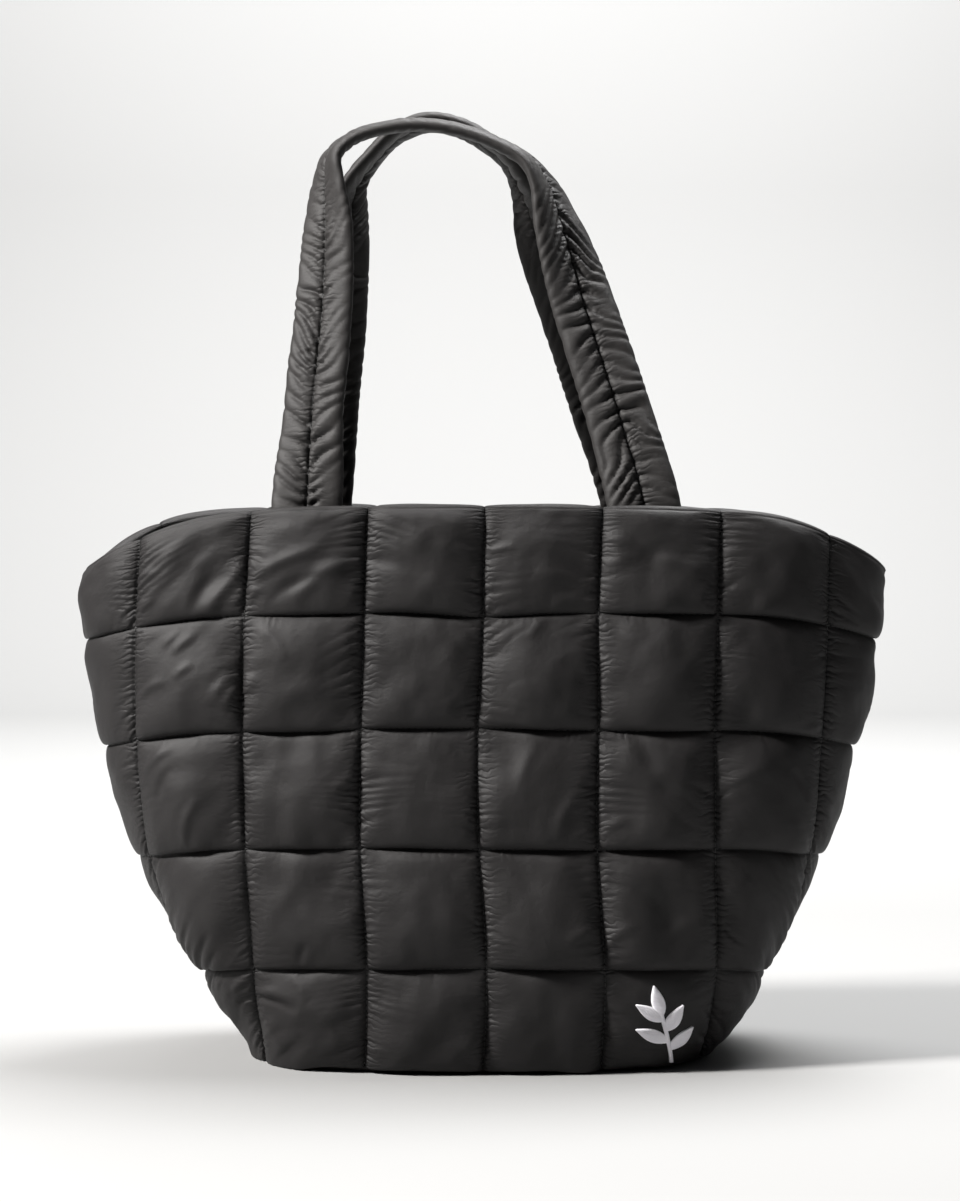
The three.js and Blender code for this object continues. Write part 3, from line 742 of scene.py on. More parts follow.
# columns: across as a share of FOOT_SPREAD, rise as a share of HANDLE_RISE, share of the quarter turn
STATIONS = {
    "front": np.array([
        [-1.020, 0.267, 0.26],
        [-0.967, 0.525, 0.30],
        [-0.950, 0.730, 0.46],
        [-0.955, 0.840, 0.68],
        [-0.930, 0.915, 0.86],
        [-0.810, 0.963, 0.92],
        [-0.600, 0.992, 0.93],
        [-0.380, 1.000, 0.93],
        [-0.150, 0.985, 0.93],
        [0.060, 0.952, 0.93],
        [0.250, 0.905, 0.90],
        [0.360, 0.840, 0.76],
        [0.445, 0.730, 0.48],
        [0.590, 0.525, 0.16],
        [0.780, 0.267, 0.05],
    ]),
    "back": np.array([
        [-0.990, 0.267, 0.16],
        [-0.925, 0.525, 0.25],
        [-0.885, 0.700, 0.42],
        [-0.850, 0.800, 0.66],
        [-0.810, 0.868, 0.86],
        [-0.700, 0.932, 0.94],
        [-0.545, 0.995, 0.95],
        [-0.360, 1.026, 0.95],
        [-0.160, 1.013, 0.95],
        [0.030, 0.968, 0.95],
        [0.155, 0.920, 0.94],
        [0.252, 0.842, 0.80],
        [0.345, 0.720, 0.48],
        [0.545, 0.515, 0.18],
        [0.750, 0.262, 0.05],
    ]),
}


SMALL_STEP = 0.001  # for slopes that are measured between two near points


def foot_stations(panel, across):
    """Three stations of a foot, from the bottom up: the wall's middle less the facing, the clearance and
    half the strap, with the share of a quarter turn that lays the strap along the wall."""
    level = TOP - np.array([1, 0.5, 0]) * FOOT_DEPTH / CELL

    def on_wall(move, rise):
        """Points of the wall beside the stations."""
        distance = np.full((len(level), 1), across * FOOT_SPREAD + move)
        return wall_points(panel, distance, level + rise)[:, 0]

    along = unit(on_wall(SMALL_STEP, 0) - on_wall(-SMALL_STEP, 0))
    up = unit(on_wall(0, 0) - on_wall(0, -SMALL_STEP / CELL))
    out = unit(np.cross(along, up)) * -SIDE_OF[panel]
    place = on_wall(0, 0) - out * (HEM_THICKNESS + FOOT_CLEARANCE + STRAP_THICKNESS / 2)
    turn = np.abs(np.arctan2(along[:, 1], along[:, 0])) / (np.pi / 2)
    return place, turn


def handle_stations(panel):
    """Places, turns and flares of all stations, from the left foot over the arch to the right foot."""
    across, rise, turn = STATIONS[panel].T
    left, left_turn = foot_stations(panel, FEET[panel][0])
    right, right_turn = foot_stations(panel, FEET[panel][1])
    foot_y = np.interp(across, FEET[panel], (left[-1, 1], right[-1, 1]))
    arch_y = SIDE_OF[panel] * (STRAP_WIDTH + HANDLE_GAP) / 2
    y = foot_y + (arch_y - foot_y) * np.minimum(rise, 1)
    z = BODY_HEIGHT - RIM_ROUND + rise * HANDLE_RISE
    middle = np.stack([across * FOOT_SPREAD, y, z], -1)
    places = np.concatenate([left, middle, right[::-1]])
    flare = np.array([1.0] * len(left) + [0.0] * len(middle) + [1.0] * len(right))
    return places, np.concatenate([left_turn, turn, right_turn[::-1]]), flare


LINE_STEPS = 60  # straight steps from one station to the next, before the line is read evenly


def smooth_line(places, count):
    """A centripetal cubic through the places, read at count points the same run length apart. The knots of
    its pieces are the square roots of the distances between the places."""
    ends = [2 * places[0] - places[1]], [2 * places[-1] - places[-2]]
    p = np.concatenate([ends[0], places, ends[1]])
    knot = np.sqrt(np.linalg.norm(np.diff(p, axis=0), axis=1))[:, None]
    slope = np.diff(p, axis=0) / knot
    both = (p[2:] - p[:-2]) / (knot[1:] + knot[:-1])
    tangent = slope[:-1] - both + slope[1:]
    t = np.linspace(0, 1, LINE_STEPS, endpoint=False)[None, :, None]
    a, b = places[:-1, None], places[1:, None]
    reach = knot[1:-1, None]
    ta, tb = tangent[:-1, None] * reach, tangent[1:, None] * reach
    line = a + t * (ta + t * (3 * (b - a) - 2 * ta - tb + t * (2 * (a - b) + ta + tb)))
    line = np.concatenate([line.reshape(-1, 3), places[-1:]])
    row = np.concatenate([(np.arange(len(places) - 1)[:, None] + t[0, :, 0]).ravel(), [len(places) - 1]])
    run = np.concatenate([[0], np.cumsum(np.linalg.norm(np.diff(line, axis=0), axis=1))])
    even = np.linspace(0, run[-1], count)
    return np.stack([np.interp(even, run, line[:, k]) for k in range(3)], -1), np.interp(even, run, row), even


for panel in ("front", "back"):
    reach = smooth_line(handle_stations(panel)[0], 2)[2][-1]
    print(f"{panel} handle: {reach:.3f} m from foot to foot")

# %% [markdown]
# ## The strap's cloth
#
# The strap is wrapped in one net that goes round it, from the stitching on the back over one lobe to the
# stitching on the face, and back over the other lobe. The slanting gathers are given to the net as its
# padded shape, because the needle has drawn them in, and the net adds the small wrinkles between them.

# %% The outline of the strap
EDGE_CROWDING = 1.25  # power that draws the outline's points towards the stitching


def lobe_outline(steps):
    """Half of the strap's outline, from the stitching on its back round one edge to the stitching on its
    face: width and thickness as shares of their halves, at equal distances. The thickness rises from the
    stitching and falls to the edge like the powers of a superellipse."""
    u = np.linspace(0, 1, 2001)
    width = 1 - np.abs(2 * u - 1) ** EDGE_CROWDING
    stitched = STITCHED_THICKNESS / STRAP_THICKNESS
    inner = stitched + (1 - stitched) * (1 - np.minimum(np.abs(1 - 2 * width), 1) ** 3) ** 0.6
    outer = (1 - np.clip(2 * width - 1, 0, 1) ** 3.4) ** 0.6
    thick = np.where(width < 0.5, inner, outer) * np.sign(u - 0.5)
    steps_run = np.hypot(np.diff(width) * STRAP_WIDTH, np.diff(thick) * STRAP_THICKNESS)
    run = np.concatenate([[0], np.cumsum(steps_run)])
    even = np.linspace(0, run[-1], steps + 1)
    return np.interp(even, run, width), np.interp(even, run, thick), even / 2


def both_lobes(half, sign=1):
    """The outline's values round the whole strap, as one column: one half and then its mirror image."""
    return np.concatenate([half, sign * half[-2::-1]])[:, None]


# %% The gathers of the strap
GATHER_PITCH = 0.010  # along the strap, from one gather to the next
GATHER_SLANT = 0.9  # how far a gather runs on along the strap for each step away from the stitching
STRAP_RIDGE = 0.0036  # height of a gather
RIDGE_REACH = 0.017  # how far the gathers reach from the stitching
RIDGE_STARTS = 0.003  # how far from the stitching a gather has its full height
STRAP_LUMPS = 0.10
STRAP_GATHERS = 0.11  # extra length of the nylon at the stitching, as a share
STRAP_REACH = 0.005
STRAP_LOOSE = (0.02, 0.01)  # extra length everywhere, along the strap and round it
STRAP_SEEDS = {"front": 83, "back": 131}


def slanting_gathers(run, aside, width, angle, seed):
    """Height of the gathers, from a sine along lines that run aslant from the stitching: a root of its
    size, so that round ridges meet in sharp clefts. They are lower where the strap is on edge. Gives also
    the slanted run."""
    slant = GATHER_SLANT * (1 + 0.5 * soft_noise(run / 0.045, np.sign(width), seed + 6))
    slanted = run - slant * aside + 0.007 * soft_noise(run / 0.019, width, seed + 3)
    ridge = np.abs(np.sin(np.pi * slanted / GATHER_PITCH)) ** 0.6 - 0.6
    strength = np.clip(0.75 + 0.8 * soft_noise(run / 0.014, width * 1.6, seed + 5), 0.1, 1.3)
    strength = strength * (1 - 0.65 * np.sin(angle) ** 4)
    fading = np.exp(-((aside / RIDGE_REACH) ** 2)) * np.minimum(aside / RIDGE_STARTS, 1)
    return STRAP_RIDGE * ridge * strength * fading, slanted


# %% The net of one strap
STRAP_NET = ((9, 152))  # squares round one lobe and along the strap, coarsest net
# columns: rounds, push in metres a round, pull of the filling, stiffness; one row for each net
STRAP_STAGES = [(100, 0.00001, 0.006, 0.02), (80, 0.00001, 0.008, 0.05), (60, 0.000005, 0.006, 0.08)]


def strap_frame(panel, columns):
    """The strap's middle line, its run length, its turn and flare, and two directions at each point: across
    the strap and out of its face. They turn about the line by the share of a quarter turn that the stations
    give."""
    places, turns, flares = handle_stations(panel)
    line, row, run = smooth_line(places, columns)
    tangent = unit(np.gradient(line, axis=0))
    outward = unit(np.cross(tangent, [0.0, 1.0, 0.0]))
    depth = np.array([0.0, SIDE_OF[panel], 0.0])
    facing = unit(depth - tangent * (tangent @ depth)[:, None])
    angle = read_smooth(turns, row)[:, None] * np.pi / 2
    across = outward * np.cos(angle) - facing * np.sin(angle)
    face = facing * np.cos(angle) + outward * np.sin(angle)
    return line, run[None, :], angle.T, np.clip(read_smooth(flares, row), 0, 1)[None, :], across, face


def strap_net(panel, stage):
    """The strap's padded shape on a net: rows go round it and columns go along it. A point is the line's,
    plus its width across and its thickness out of the face, plus the gathers in the outward direction."""
    seed = STRAP_SEEDS[panel]
    half_rows, columns = STRAP_NET[0] * 2**stage, STRAP_NET[1] * 2**stage + 1
    line, run, angle, flare, across, face = strap_frame(panel, columns)
    width, thick, reach = lobe_outline(half_rows)
    aside = both_lobes(np.minimum(reach, reach[-1] - reach))
    width, thick = both_lobes(width, -1), both_lobes(thick)
    lump = 1 + STRAP_LUMPS * soft_noise(run / 0.02, width * 1.5, seed)
    uneven_width = 1 + 0.02 * soft_noise(run / 0.03, 0, seed + 1)
    half_width = (STRAP_WIDTH + FOOT_FLARE * flare) / 2 * uneven_width
    half_thick = STRAP_THICKNESS / 2 * np.where(np.abs(width) < 0.01, 1, lump)
    points = line + across * (width * half_width)[..., None] + face * (thick * half_thick)[..., None]
    out = unit(np.cross(np.gradient(points, axis=1), np.gradient(points, axis=0)))
    out *= np.sign((out * (points - line)).sum(-1).mean())
    gathers, slanted = slanting_gathers(run, aside, width, angle, seed)
    points = points + out * gathers[..., None]
    extra = STRAP_GATHERS * (1 + 0.5 * soft_noise(run / 0.013, width * 2, seed + 2)) * (1 - 0.6 * flare)
    extra = STRAP_LOOSE[0] + extra * np.exp(-aside / STRAP_REACH)
    lengths = net_lengths(points, extra, np.full(points.shape[:2], STRAP_LOOSE[1]))
    held = np.zeros(points.shape[:2], bool)
    held[[0, half_rows, 2 * half_rows]] = True
    held[:, [0, -1]] = True
    wave = soft_noise(slanted / 0.0035, width * 3, seed + 4)
    return points.astype(np.float32), out.astype(np.float32), held, lengths, wave, aside, run[0]


FIRST_WAVE = 0.0006  # height of the noise that the coarsest net starts with, beside the stitching
LATER_WAVE = 0.00015  # and that is added to the finer nets
FAR_FROM_SEAM = 0.035  # distance that the seam map holds where a piece has no seam


def padded_handle(panel):
    """Settles the strap's cloth on three nets and closes it: the last row is the first one, and the ends
    are flat."""
    moved = None
    for stage, (rounds, push, filling, stiffness) in enumerate(STRAP_STAGES):
        rest, out, held, (along, up), wave, aside, run = strap_net(panel, stage)
        if moved is None:
            start = out * (FIRST_WAVE * wave * np.exp(-aside / 0.01))[..., None]
        else:
            start = finer(moved) + out * (LATER_WAVE * wave)[..., None]
        cloth = (rest + start).astype(np.float32)
        cloth[held] = rest[held]
        settle(cloth, rest, out, held, along, up, rounds, push, filling, stiffness)
        moved = cloth - rest
    points = cloth[:-1]
    rows, columns = points.shape[:2]
    reach = np.arange(rows) * 2 * STRAP_WIDTH / rows
    away = np.broadcast_to(aside[:-1], (rows, columns))
    maps = {
        "cloth": np.stack(np.broadcast_arrays(reach[:, None], run[None, :]), -1).reshape(-1, 2),
        "seams": np.stack([away, np.full_like(away, FAR_FROM_SEAM)], -1).reshape(-1, 2),
    }
    inwards = np.cross(points[0, 1] - points[0, 0], points[1, 0] - points[0, 0]) @ out[0, 0] < 0
    squares, ends = grid_faces(rows, columns, wrap=True), tube_ends(rows, columns)
    piece = make_piece(f"{panel}_handle_padded", points.reshape(-1, 3), squares, ends, maps, flip=inwards)
    return piece, cloth


handles, strap_cloths = {}, {}
for panel in ("front", "back"):
    handles[panel], strap_cloths[panel] = padded_handle(panel)


# %% [markdown]
# ## The base
#
# The floor of the bag is a flat pad with a rounded edge, quilted like the walls. It is two sheets over one
# grid that share their edge. The grid is a square pressed onto the outline of the bag's foot, and the
# sheets part from each other quickly inside the edge. The lower sheet stays flat but for the grooves of its
# quilting, so the bag stands on it.

# %% The padded base
BASE_STEPS = ((150, 86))
BASE_ARCH = 2.2  # power of the base's rounded edge
INSIDE_GROOVE = 0.003  # depth of the quilting's grooves on the upper sheet
UNDER_GROOVE = 0.0012  # and on the lower one
INSIDE_STEEPER = 2.5  # how much faster the upper sheet rises from the edge than the lower one falls
GROOVE_WIDTH = 0.004


def padded_base():
    """Two sheets: x and y are a square's place times the larger of its two sizes, over its distance in the
    power of the outline; the height over the middle is a power of the distance from the edge, less the
    grooves."""
    even = [np.linspace(-1, 1, steps) for steps in BASE_STEPS]
    s, t = np.meshgrid(*[0.65 * place + 0.35 * np.sin(place * np.pi / 2) for place in even])
    power = SQUARENESS[0]
    half_length = MOUTH_HALF_WIDTH * WIDTH[0] + BASE_EDGE
    half_depth = MOUTH_HALF_DEPTH * DEPTH[0] + BASE_EDGE
    most = np.maximum(np.abs(s), np.abs(t))
    shrink = most / np.maximum((np.abs(s) ** power + np.abs(t) ** power) ** (1 / power), 1e-9)
    x = half_length * s * shrink
    y = half_depth * t * shrink
    from_edge = np.clip((1 - most) * half_depth / BASE_ROUND, 0, 1)
    lower_rise = BASE_THICKNESS / 2 * np.sqrt(1 - (1 - from_edge) ** BASE_ARCH)
    inside_edge = np.minimum(from_edge * INSIDE_STEEPER, 1)
    upper_rise = BASE_THICKNESS / 2 * np.sqrt(1 - (1 - inside_edge) ** BASE_ARCH)
    away = [np.abs((place / CELL + 0.5) % 1 - 0.5) * CELL for place in (x, y + CELL / 2)]
    groove = np.exp(-np.minimum(*away) / GROOVE_WIDTH) * from_edge
    upper = BASE_THICKNESS / 2 + upper_rise - INSIDE_GROOVE * groove
    lower = BASE_THICKNESS / 2 - lower_rise + UNDER_GROOVE * groove
    x = x + LOWER_SWAY * SWAY[0]
    number = np.arange(x.size).reshape(x.shape)
    inner = np.zeros(x.shape, bool)
    inner[1:-1, 1:-1] = True
    below = number.copy()
    below[inner] = x.size + np.arange(inner.sum())
    top_squares = grid_faces(*x.shape)
    squares = np.concatenate([top_squares, below.ravel()[top_squares][:, ::-1]])
    points = np.concatenate([np.stack([x, y, upper], -1).reshape(-1, 3), np.stack([x, y, lower], -1)[inner]])
    maps = {"cloth": points[:, :2], "seams": np.full((len(points), 2), FAR_FROM_SEAM)}
    return make_piece("base_panel_quilted", points, squares, maps=maps)


base = padded_base()

# %% [markdown]
# ## The thread in the seams
#
# The seams are sewn with black thread. Each stitch is a short capsule that lies along its seam and is half
# sunk in the cloth, as the thread of a machine stitch is. One capsule is made as an array and copied to all
# the stitches at once, so a whole panel's thread is a single mesh.

# %% Stitches along a line
STITCH_LENGTH = 0.0028
STITCH_PITCH = 0.0036
THREAD_RADIUS = 0.00026
THREAD_LIFT = 0.6 * THREAD_RADIUS  # so that a part of each stitch is sunk in the cloth


def capsule(sides=5):
    """A stitch along x, of unit length and radius: four rings, full in the middle and drawn in at both
    ends. Gives its points, its squares and its two end faces."""
    along = np.array([-0.5, -0.38, 0.38, 0.5])
    radius = np.array([0.45, 1.0, 1.0, 0.45])
    angle = np.arange(sides)[:, None] / sides * 2 * np.pi
    shape = np.stack(np.broadcast_arrays(along, radius * np.cos(angle), radius * np.sin(angle)), -1)
    return shape.reshape(-1, 3), grid_faces(sides, len(along), wrap=True), tube_ends(sides, len(along))


def read_along(path, run, places):
    """The path's points or directions at places given by run length."""
    return np.stack([np.interp(places, run, path[:, k]) for k in range(3)], -1)


def stitches_on(path, outward):
    """Middles, directions and outward directions of the stitches along a path of points, one to each
    pitch."""
    run = np.concatenate([[0], np.cumsum(np.linalg.norm(np.diff(path, axis=0), axis=1))])
    middle = np.arange(STITCH_PITCH / 2, run[-1] - STITCH_PITCH / 2, STITCH_PITCH)
    ahead = read_along(path, run, middle + STITCH_LENGTH / 2)
    behind = read_along(path, run, middle - STITCH_LENGTH / 2)
    place, out = read_along(path, run, middle), unit(read_along(outward, run, middle))
    return np.stack([place, unit(ahead - behind), out], 1)


def sewn_thread(name, stitches):
    """One mesh of all stitches: each capsule is stretched along its direction and lifted a little
    outwards."""
    stitches = np.concatenate(stitches)
    middle, along, outward = stitches[:, 0], stitches[:, 1], stitches[:, 2]
    outward = unit(outward - along * (along * outward).sum(-1, keepdims=True))
    aside = np.cross(along, outward)
    shape, squares, ends = capsule()
    lengthwise, sideways, upwards = np.moveaxis(shape, 1, 0)[:, None, :, None]
    points = (middle + outward * THREAD_LIFT)[:, None] + along[:, None] * lengthwise * STITCH_LENGTH
    points += THREAD_RADIUS * (aside[:, None] * sideways + outward[:, None] * upwards)
    first = np.arange(len(middle))[:, None, None] * len(shape)
    all_squares = (squares[None] + first).reshape(-1, 4)
    all_ends = [end + start * len(shape) for start in range(len(middle)) for end in ends]
    return make_piece(name, points.reshape(-1, 3), all_squares, all_ends)


def cloth_normals(cloth, towards):
    """Directions across a grid of cloth, turned to the side of a given direction."""
    normal = unit(np.cross(np.gradient(cloth, axis=1), np.gradient(cloth, axis=0)))
    return normal * np.sign((normal * towards).sum())


# %% Sew the seams
threads = {}
for panel in ("front", "back"):
    cloth, fine = cloths[panel], fineness[panel]
    outward = panel_grid(panel, fine)[1]
    rows, last = TOP * fine, cloth.shape[1] - 1
    lines = [stitches_on(cloth[row], outward[row]) for row in range(fine, rows, fine)]
    lines += [stitches_on(cloth[:rows, column], outward[:rows, column]) for column in range(fine, last, fine)]
    threads[panel] = sewn_thread(f"{panel}_seam_thread", lines)

lines = []
for cloth in strap_cloths.values():
    middle = cloth.mean(axis=0)
    for row in (0, (len(cloth) - 1) // 2):
        lines.append(stitches_on(cloth[row], unit(cloth[row] - middle)))
threads["straps"] = sewn_thread("strap_thread", lines)

# %% [markdown]
# ## The white sprig
#
# A small sprig of leaves is worked in white satin stitch: rows of thread laid side by side across each
# leaf, so that it stands up as a soft rib. Each leaf is a band that follows the settled cloth below it. Its
# upper side is a dome with a ripple for every thread, and its lower side is sunk in the cloth.

# %% Satin stitch on the cloth
SPRIG_LENGTH = 0.054
SPRIG_THREAD = 0.0012  # how far the stitching stands up
SPRIG_SUNK = 0.0005  # how far its underside is sunk in the cloth
SPRIG_ACROSS = 1.5  # its middle, in squares from the bag's middle
SPRIG_UP = 0.5  # and in squares from the foot
SPRIG_LEAN = np.radians(-14)
STEM_LENGTH = 0.72  # as a share of the sprig's length
STEM_WIDTH = 0.045
SATIN_PITCH = 0.0008  # from one thread to the next
BAND_SIDES = 20  # points round a band
LEAF_FOOT = 0.12  # how broad a leaf is at its ends, against its swelling

# columns: share along the stem, lean from the stem in degrees, length and width as shares of the sprig
LEAVES = np.array([
    [0.20, 52, 0.40, 0.17],
    [0.32, -52, 0.40, 0.17],
    [0.48, 46, 0.36, 0.16],
    [0.60, -46, 0.34, 0.15],
    [0.66, 0, 0.34, 0.15],
])


def on_cloth(field, distance, level):
    """Reads a grid of the front panel at a distance and level: the blend of the four grid points around
    it."""
    column, row = (distance / CELL + HALF_CELLS + 1) * fineness["front"], level * fineness["front"]
    i, j = np.floor(row).astype(int), np.floor(column).astype(int)
    u, v = (row - i)[..., None], (column - j)[..., None]
    low = field[i, j] * (1 - v) + field[i, j + 1] * v
    high = field[i + 1, j] * (1 - v) + field[i + 1, j + 1] * v
    return low * (1 - u) + high * u


def leaf_width(share, width):
    """Half width of a leaf along its length: a sine of a power of the share, so that it is widest near its
    foot."""
    swelling = np.sin(np.pi * share**0.8)
    return width * SPRIG_LENGTH / 2 * (LEAF_FOOT + swelling) / (LEAF_FOOT + 1)


def stem_width(share, width):
    """Half width of the stem: the same all along."""
    return np.full_like(share, width * SPRIG_LENGTH / 2)


def satin_band(start, lean, length, half_width, width):
    """A closed band of satin stitch as a tube: rows go round it, up over the dome and back below, and
    columns run along it. The dome is a power of a sine round the band, and the ripples are a sine along the
    band."""
    steps = max(int(length / SATIN_PITCH * 4), 24)
    share = np.linspace(0, 1, steps)[None, :]
    turn = np.linspace(0, 2 * np.pi, BAND_SIDES, endpoint=False)[:, None]
    aside = np.cos(turn)
    thread = 2 * np.pi * share * length / SATIN_PITCH
    ripple = 1 + 0.16 * np.sin(thread + aside * 0.9)
    dome = SPRIG_THREAD * np.maximum(np.sin(turn), 0) ** 0.7 * ripple
    height = np.where(np.sin(turn) > 0, dome, SPRIG_SUNK * np.sin(turn))
    half = half_width(share, width) * (1 + 0.02 * np.sin(thread))
    x = start[0] + np.sin(lean) * share * length + np.cos(lean) * aside * half
    y = start[1] + np.cos(lean) * share * length - np.sin(lean) * aside * half
    spot = SPRIG_ACROSS * CELL + x, SPRIG_UP + y / CELL
    return on_cloth(cloths["front"], *spot) + on_cloth(SPRIG_GROUND, *spot) * height[..., None]


# %% Stitch the sprig
SPRIG_GROUND = cloth_normals(cloths["front"], [0, -1, 0])
stem_direction = np.array([np.sin(SPRIG_LEAN), np.cos(SPRIG_LEAN)])
foot = -stem_direction * SPRIG_LENGTH / 2
bands = [satin_band(foot, SPRIG_LEAN, STEM_LENGTH * SPRIG_LENGTH, stem_width, STEM_WIDTH)]
for place, angle, length, width in LEAVES:
    start = foot + stem_direction * place * SPRIG_LENGTH
    bands.append(satin_band(start, SPRIG_LEAN + np.radians(angle), length * SPRIG_LENGTH, leaf_width, width))

squares, ends, count = [], [], 0
for band in bands:
    rows, columns = band.shape[:2]
    squares.append(grid_faces(rows, columns, wrap=True) + count)
    ends += [end + count for end in tube_ends(rows, columns)]
    count += rows * columns
points = np.concatenate([band.reshape(-1, 3) for band in bands])
sprig = make_piece("sprig_satin_stitch", points, np.concatenate(squares), ends)

# %% [markdown]
# ## Black nylon
#
# Thin nylon taffeta is nearly black. It shows its folds by the light that falls on them and only a little
# by highlights, so it has a low specular level. Two shader groups do what both materials share. The weave
# group gives fine threads, shallow creases and a faint unevenness of shade. The pucker group raises the
# smallest ridges beside the seams, which are too fine for the mesh. Both read maps that hold lengths on the
# cloth, so they follow the folds.

# %% Helpers for shader nodes
def group_socket(group, name, direction, kind="NodeSocketFloat", value=None):
    """Adds a named socket to a shader group."""
    socket = group.interface.new_socket(name=name, in_out=direction, socket_type=kind)
    if value is not None:
        socket.default_value = value
    return socket


def link_all(tree, *pairs):
    """Links each output to its input."""
    for output, socket in pairs:
        tree.links.new(output, socket)


def arithmetic(tree, operation, *values):
    """The output of one step of arithmetic on outputs and plain numbers."""
    node = tree.nodes.new("ShaderNodeMath")
    node.operation = operation
    for socket, value in zip(node.inputs, values):
        if isinstance(value, (int, float)):
            socket.default_value = value
        else:
            tree.links.new(value, socket)
    return node.outputs[0]


def noise_texture(tree, scale, **values):
    """A noise texture with its scale and other inputs set."""
    node = tree.nodes.new("ShaderNodeTexNoise")
    node.inputs["Scale"].default_value = scale
    for name, value in values.items():
        node.inputs[name].default_value = value
    return node


def uv_map(tree, name):
    """A node that reads one of the piece's own maps."""
    node = tree.nodes.new("ShaderNodeUVMap")
    node.uv_map = name
    return node


def bump_node(tree, distance, strength):
    """A bump of a given height, in metres."""
    node = tree.nodes.new("ShaderNodeBump")
    node.inputs["Distance"].default_value = distance
    node.inputs["Strength"].default_value = strength
    return node


def map_range(tree, low, high):
    """A node that carries shares from 0 to 1 to values from low to high."""
    node = tree.nodes.new("ShaderNodeMapRange")
    node.inputs["To Min"].default_value = low
    node.inputs["To Max"].default_value = high
    return node


def colour_mix(tree, first=None, second=None):
    """A mix of two colours, either of which may be linked later."""
    node = tree.nodes.new("ShaderNodeMix")
    node.data_type = "RGBA"
    for socket, colour in (("A", first), ("B", second)):
        if colour:
            node.inputs[socket].default_value = (*colour, 1)
    return node


# %% The weave
def weave_group():
    """Threads: the product of two sine waves at right angles, over the cloth map. Creases: noise. Shade:
    slower noise for the colour and the roughness."""
    group = bpy.data.node_groups.new("weave", "ShaderNodeTree")
    group_socket(group, "Threads per metre", "INPUT", value=11000)
    group_socket(group, "Crease size", "INPUT", value=160)
    for name in ("Height", "Creases", "Shade"):
        group_socket(group, name, "OUTPUT")
    start, end = group.nodes.new("NodeGroupInput"), group.nodes.new("NodeGroupOutput")
    cloth = uv_map(group, "cloth").outputs["UV"]
    scaled, split = group.nodes.new("ShaderNodeVectorMath"), group.nodes.new("ShaderNodeSeparateXYZ")
    scaled.operation = "SCALE"
    creases = noise_texture(group, 160, Detail=3, Roughness=0.55)
    cloud = noise_texture(group, 14, Detail=4)
    threads = arithmetic(
        group,
        "MULTIPLY",
        arithmetic(group, "SINE", split.outputs["X"]),
        arithmetic(group, "SINE", split.outputs["Y"]),
    )
    link_all(
        group,
        (cloth, scaled.inputs[0]),
        (start.outputs["Threads per metre"], scaled.inputs["Scale"]),
        (scaled.outputs["Vector"], split.inputs["Vector"]),
        (threads, end.inputs["Height"]),
        (cloth, creases.inputs["Vector"]),
        (start.outputs["Crease size"], creases.inputs["Scale"]),
        (creases.outputs["Fac"], end.inputs["Creases"]),
        (cloth, cloud.inputs["Vector"]),
        (cloud.outputs["Fac"], end.inputs["Shade"]),
    )
    return group


WEAVE = weave_group()
print("weave group:", [item.name for item in WEAVE.interface.items_tree])

# %% The puckers
GROOVE_REACH = 0.0011  # how far the painted shade of the groove reaches from its seam


def pucker_group():
    """Puckers at the upright seams, from the map of distances to the seams. Their height is the size of a
    sine along the seam, shifted by noise, so that round ridges meet in sharp clefts. It fades away from the
    seam and comes and goes along it. A second output is one at a seam and fades out quickly, for the shade
    that is painted into the colour in the groove."""
    group = bpy.data.node_groups.new("puckers", "ShaderNodeTree")
    for name, value in (("Pitch", 0.0036), ("Reach", 0.005), ("Unevenness", 2.6)):
        group_socket(group, name, "INPUT", value=value)
    for name in ("Height", "Groove"):
        group_socket(group, name, "OUTPUT")
    start, end = group.nodes.new("NodeGroupInput"), group.nodes.new("NodeGroupOutput")
    place, away = group.nodes.new("ShaderNodeSeparateXYZ"), group.nodes.new("ShaderNodeSeparateXYZ")
    shift, patches = noise_texture(group, 110), noise_texture(group, 75)
    cloth = uv_map(group, "cloth").outputs["UV"]
    link_all(
        group,
        (cloth, place.inputs["Vector"]),
        (uv_map(group, "seams").outputs["UV"], away.inputs["Vector"]),
        (cloth, shift.inputs["Vector"]),
        (cloth, patches.inputs["Vector"]),
    )
    pitches = arithmetic(group, "DIVIDE", place.outputs["Y"], start.outputs["Pitch"])
    moved = arithmetic(group, "MULTIPLY_ADD", shift.outputs["Fac"], start.outputs["Unevenness"], pitches)
    wave = arithmetic(group, "SINE", arithmetic(group, "MULTIPLY", moved, np.pi))
    ridge = arithmetic(group, "ABSOLUTE", wave)
    distance = arithmetic(group, "DIVIDE", away.outputs["X"], start.outputs["Reach"])
    fading = arithmetic(group, "EXPONENT", arithmetic(group, "MULTIPLY", distance, -1.0))
    patchy = arithmetic(group, "MULTIPLY_ADD", patches.outputs["Fac"], 3.0, -0.8)
    patchy = arithmetic(group, "MINIMUM", arithmetic(group, "MAXIMUM", patchy, 0.15), 1.2)
    height = arithmetic(group, "MULTIPLY", arithmetic(group, "MULTIPLY", ridge, fading), patchy)
    nearest = arithmetic(group, "MINIMUM", away.outputs["X"], away.outputs["Y"])
    groove = arithmetic(group, "EXPONENT", arithmetic(group, "DIVIDE", nearest, -GROOVE_REACH))
    link_all(group, (height, end.inputs["Height"]), (groove, end.inputs["Groove"]))
    return group


PUCKERS = pucker_group()
print("pucker group:", [item.name for item in PUCKERS.interface.items_tree])

# %% [markdown]
# ## The two cloth materials
#
# Walls and straps are the same nylon, but the straps' colours are painted paler, for the light that their
# gathers catch. One function makes both. Its bumps are chained, each over the one before: creases, then
# puckers, then threads.

# %% The cloth material
# painted shade: a near-black mixed into the colour beside the seams, where shade falls in the grooves
PAINTED_GROOVE_SHADE = (0.001, 0.001, 0.001)


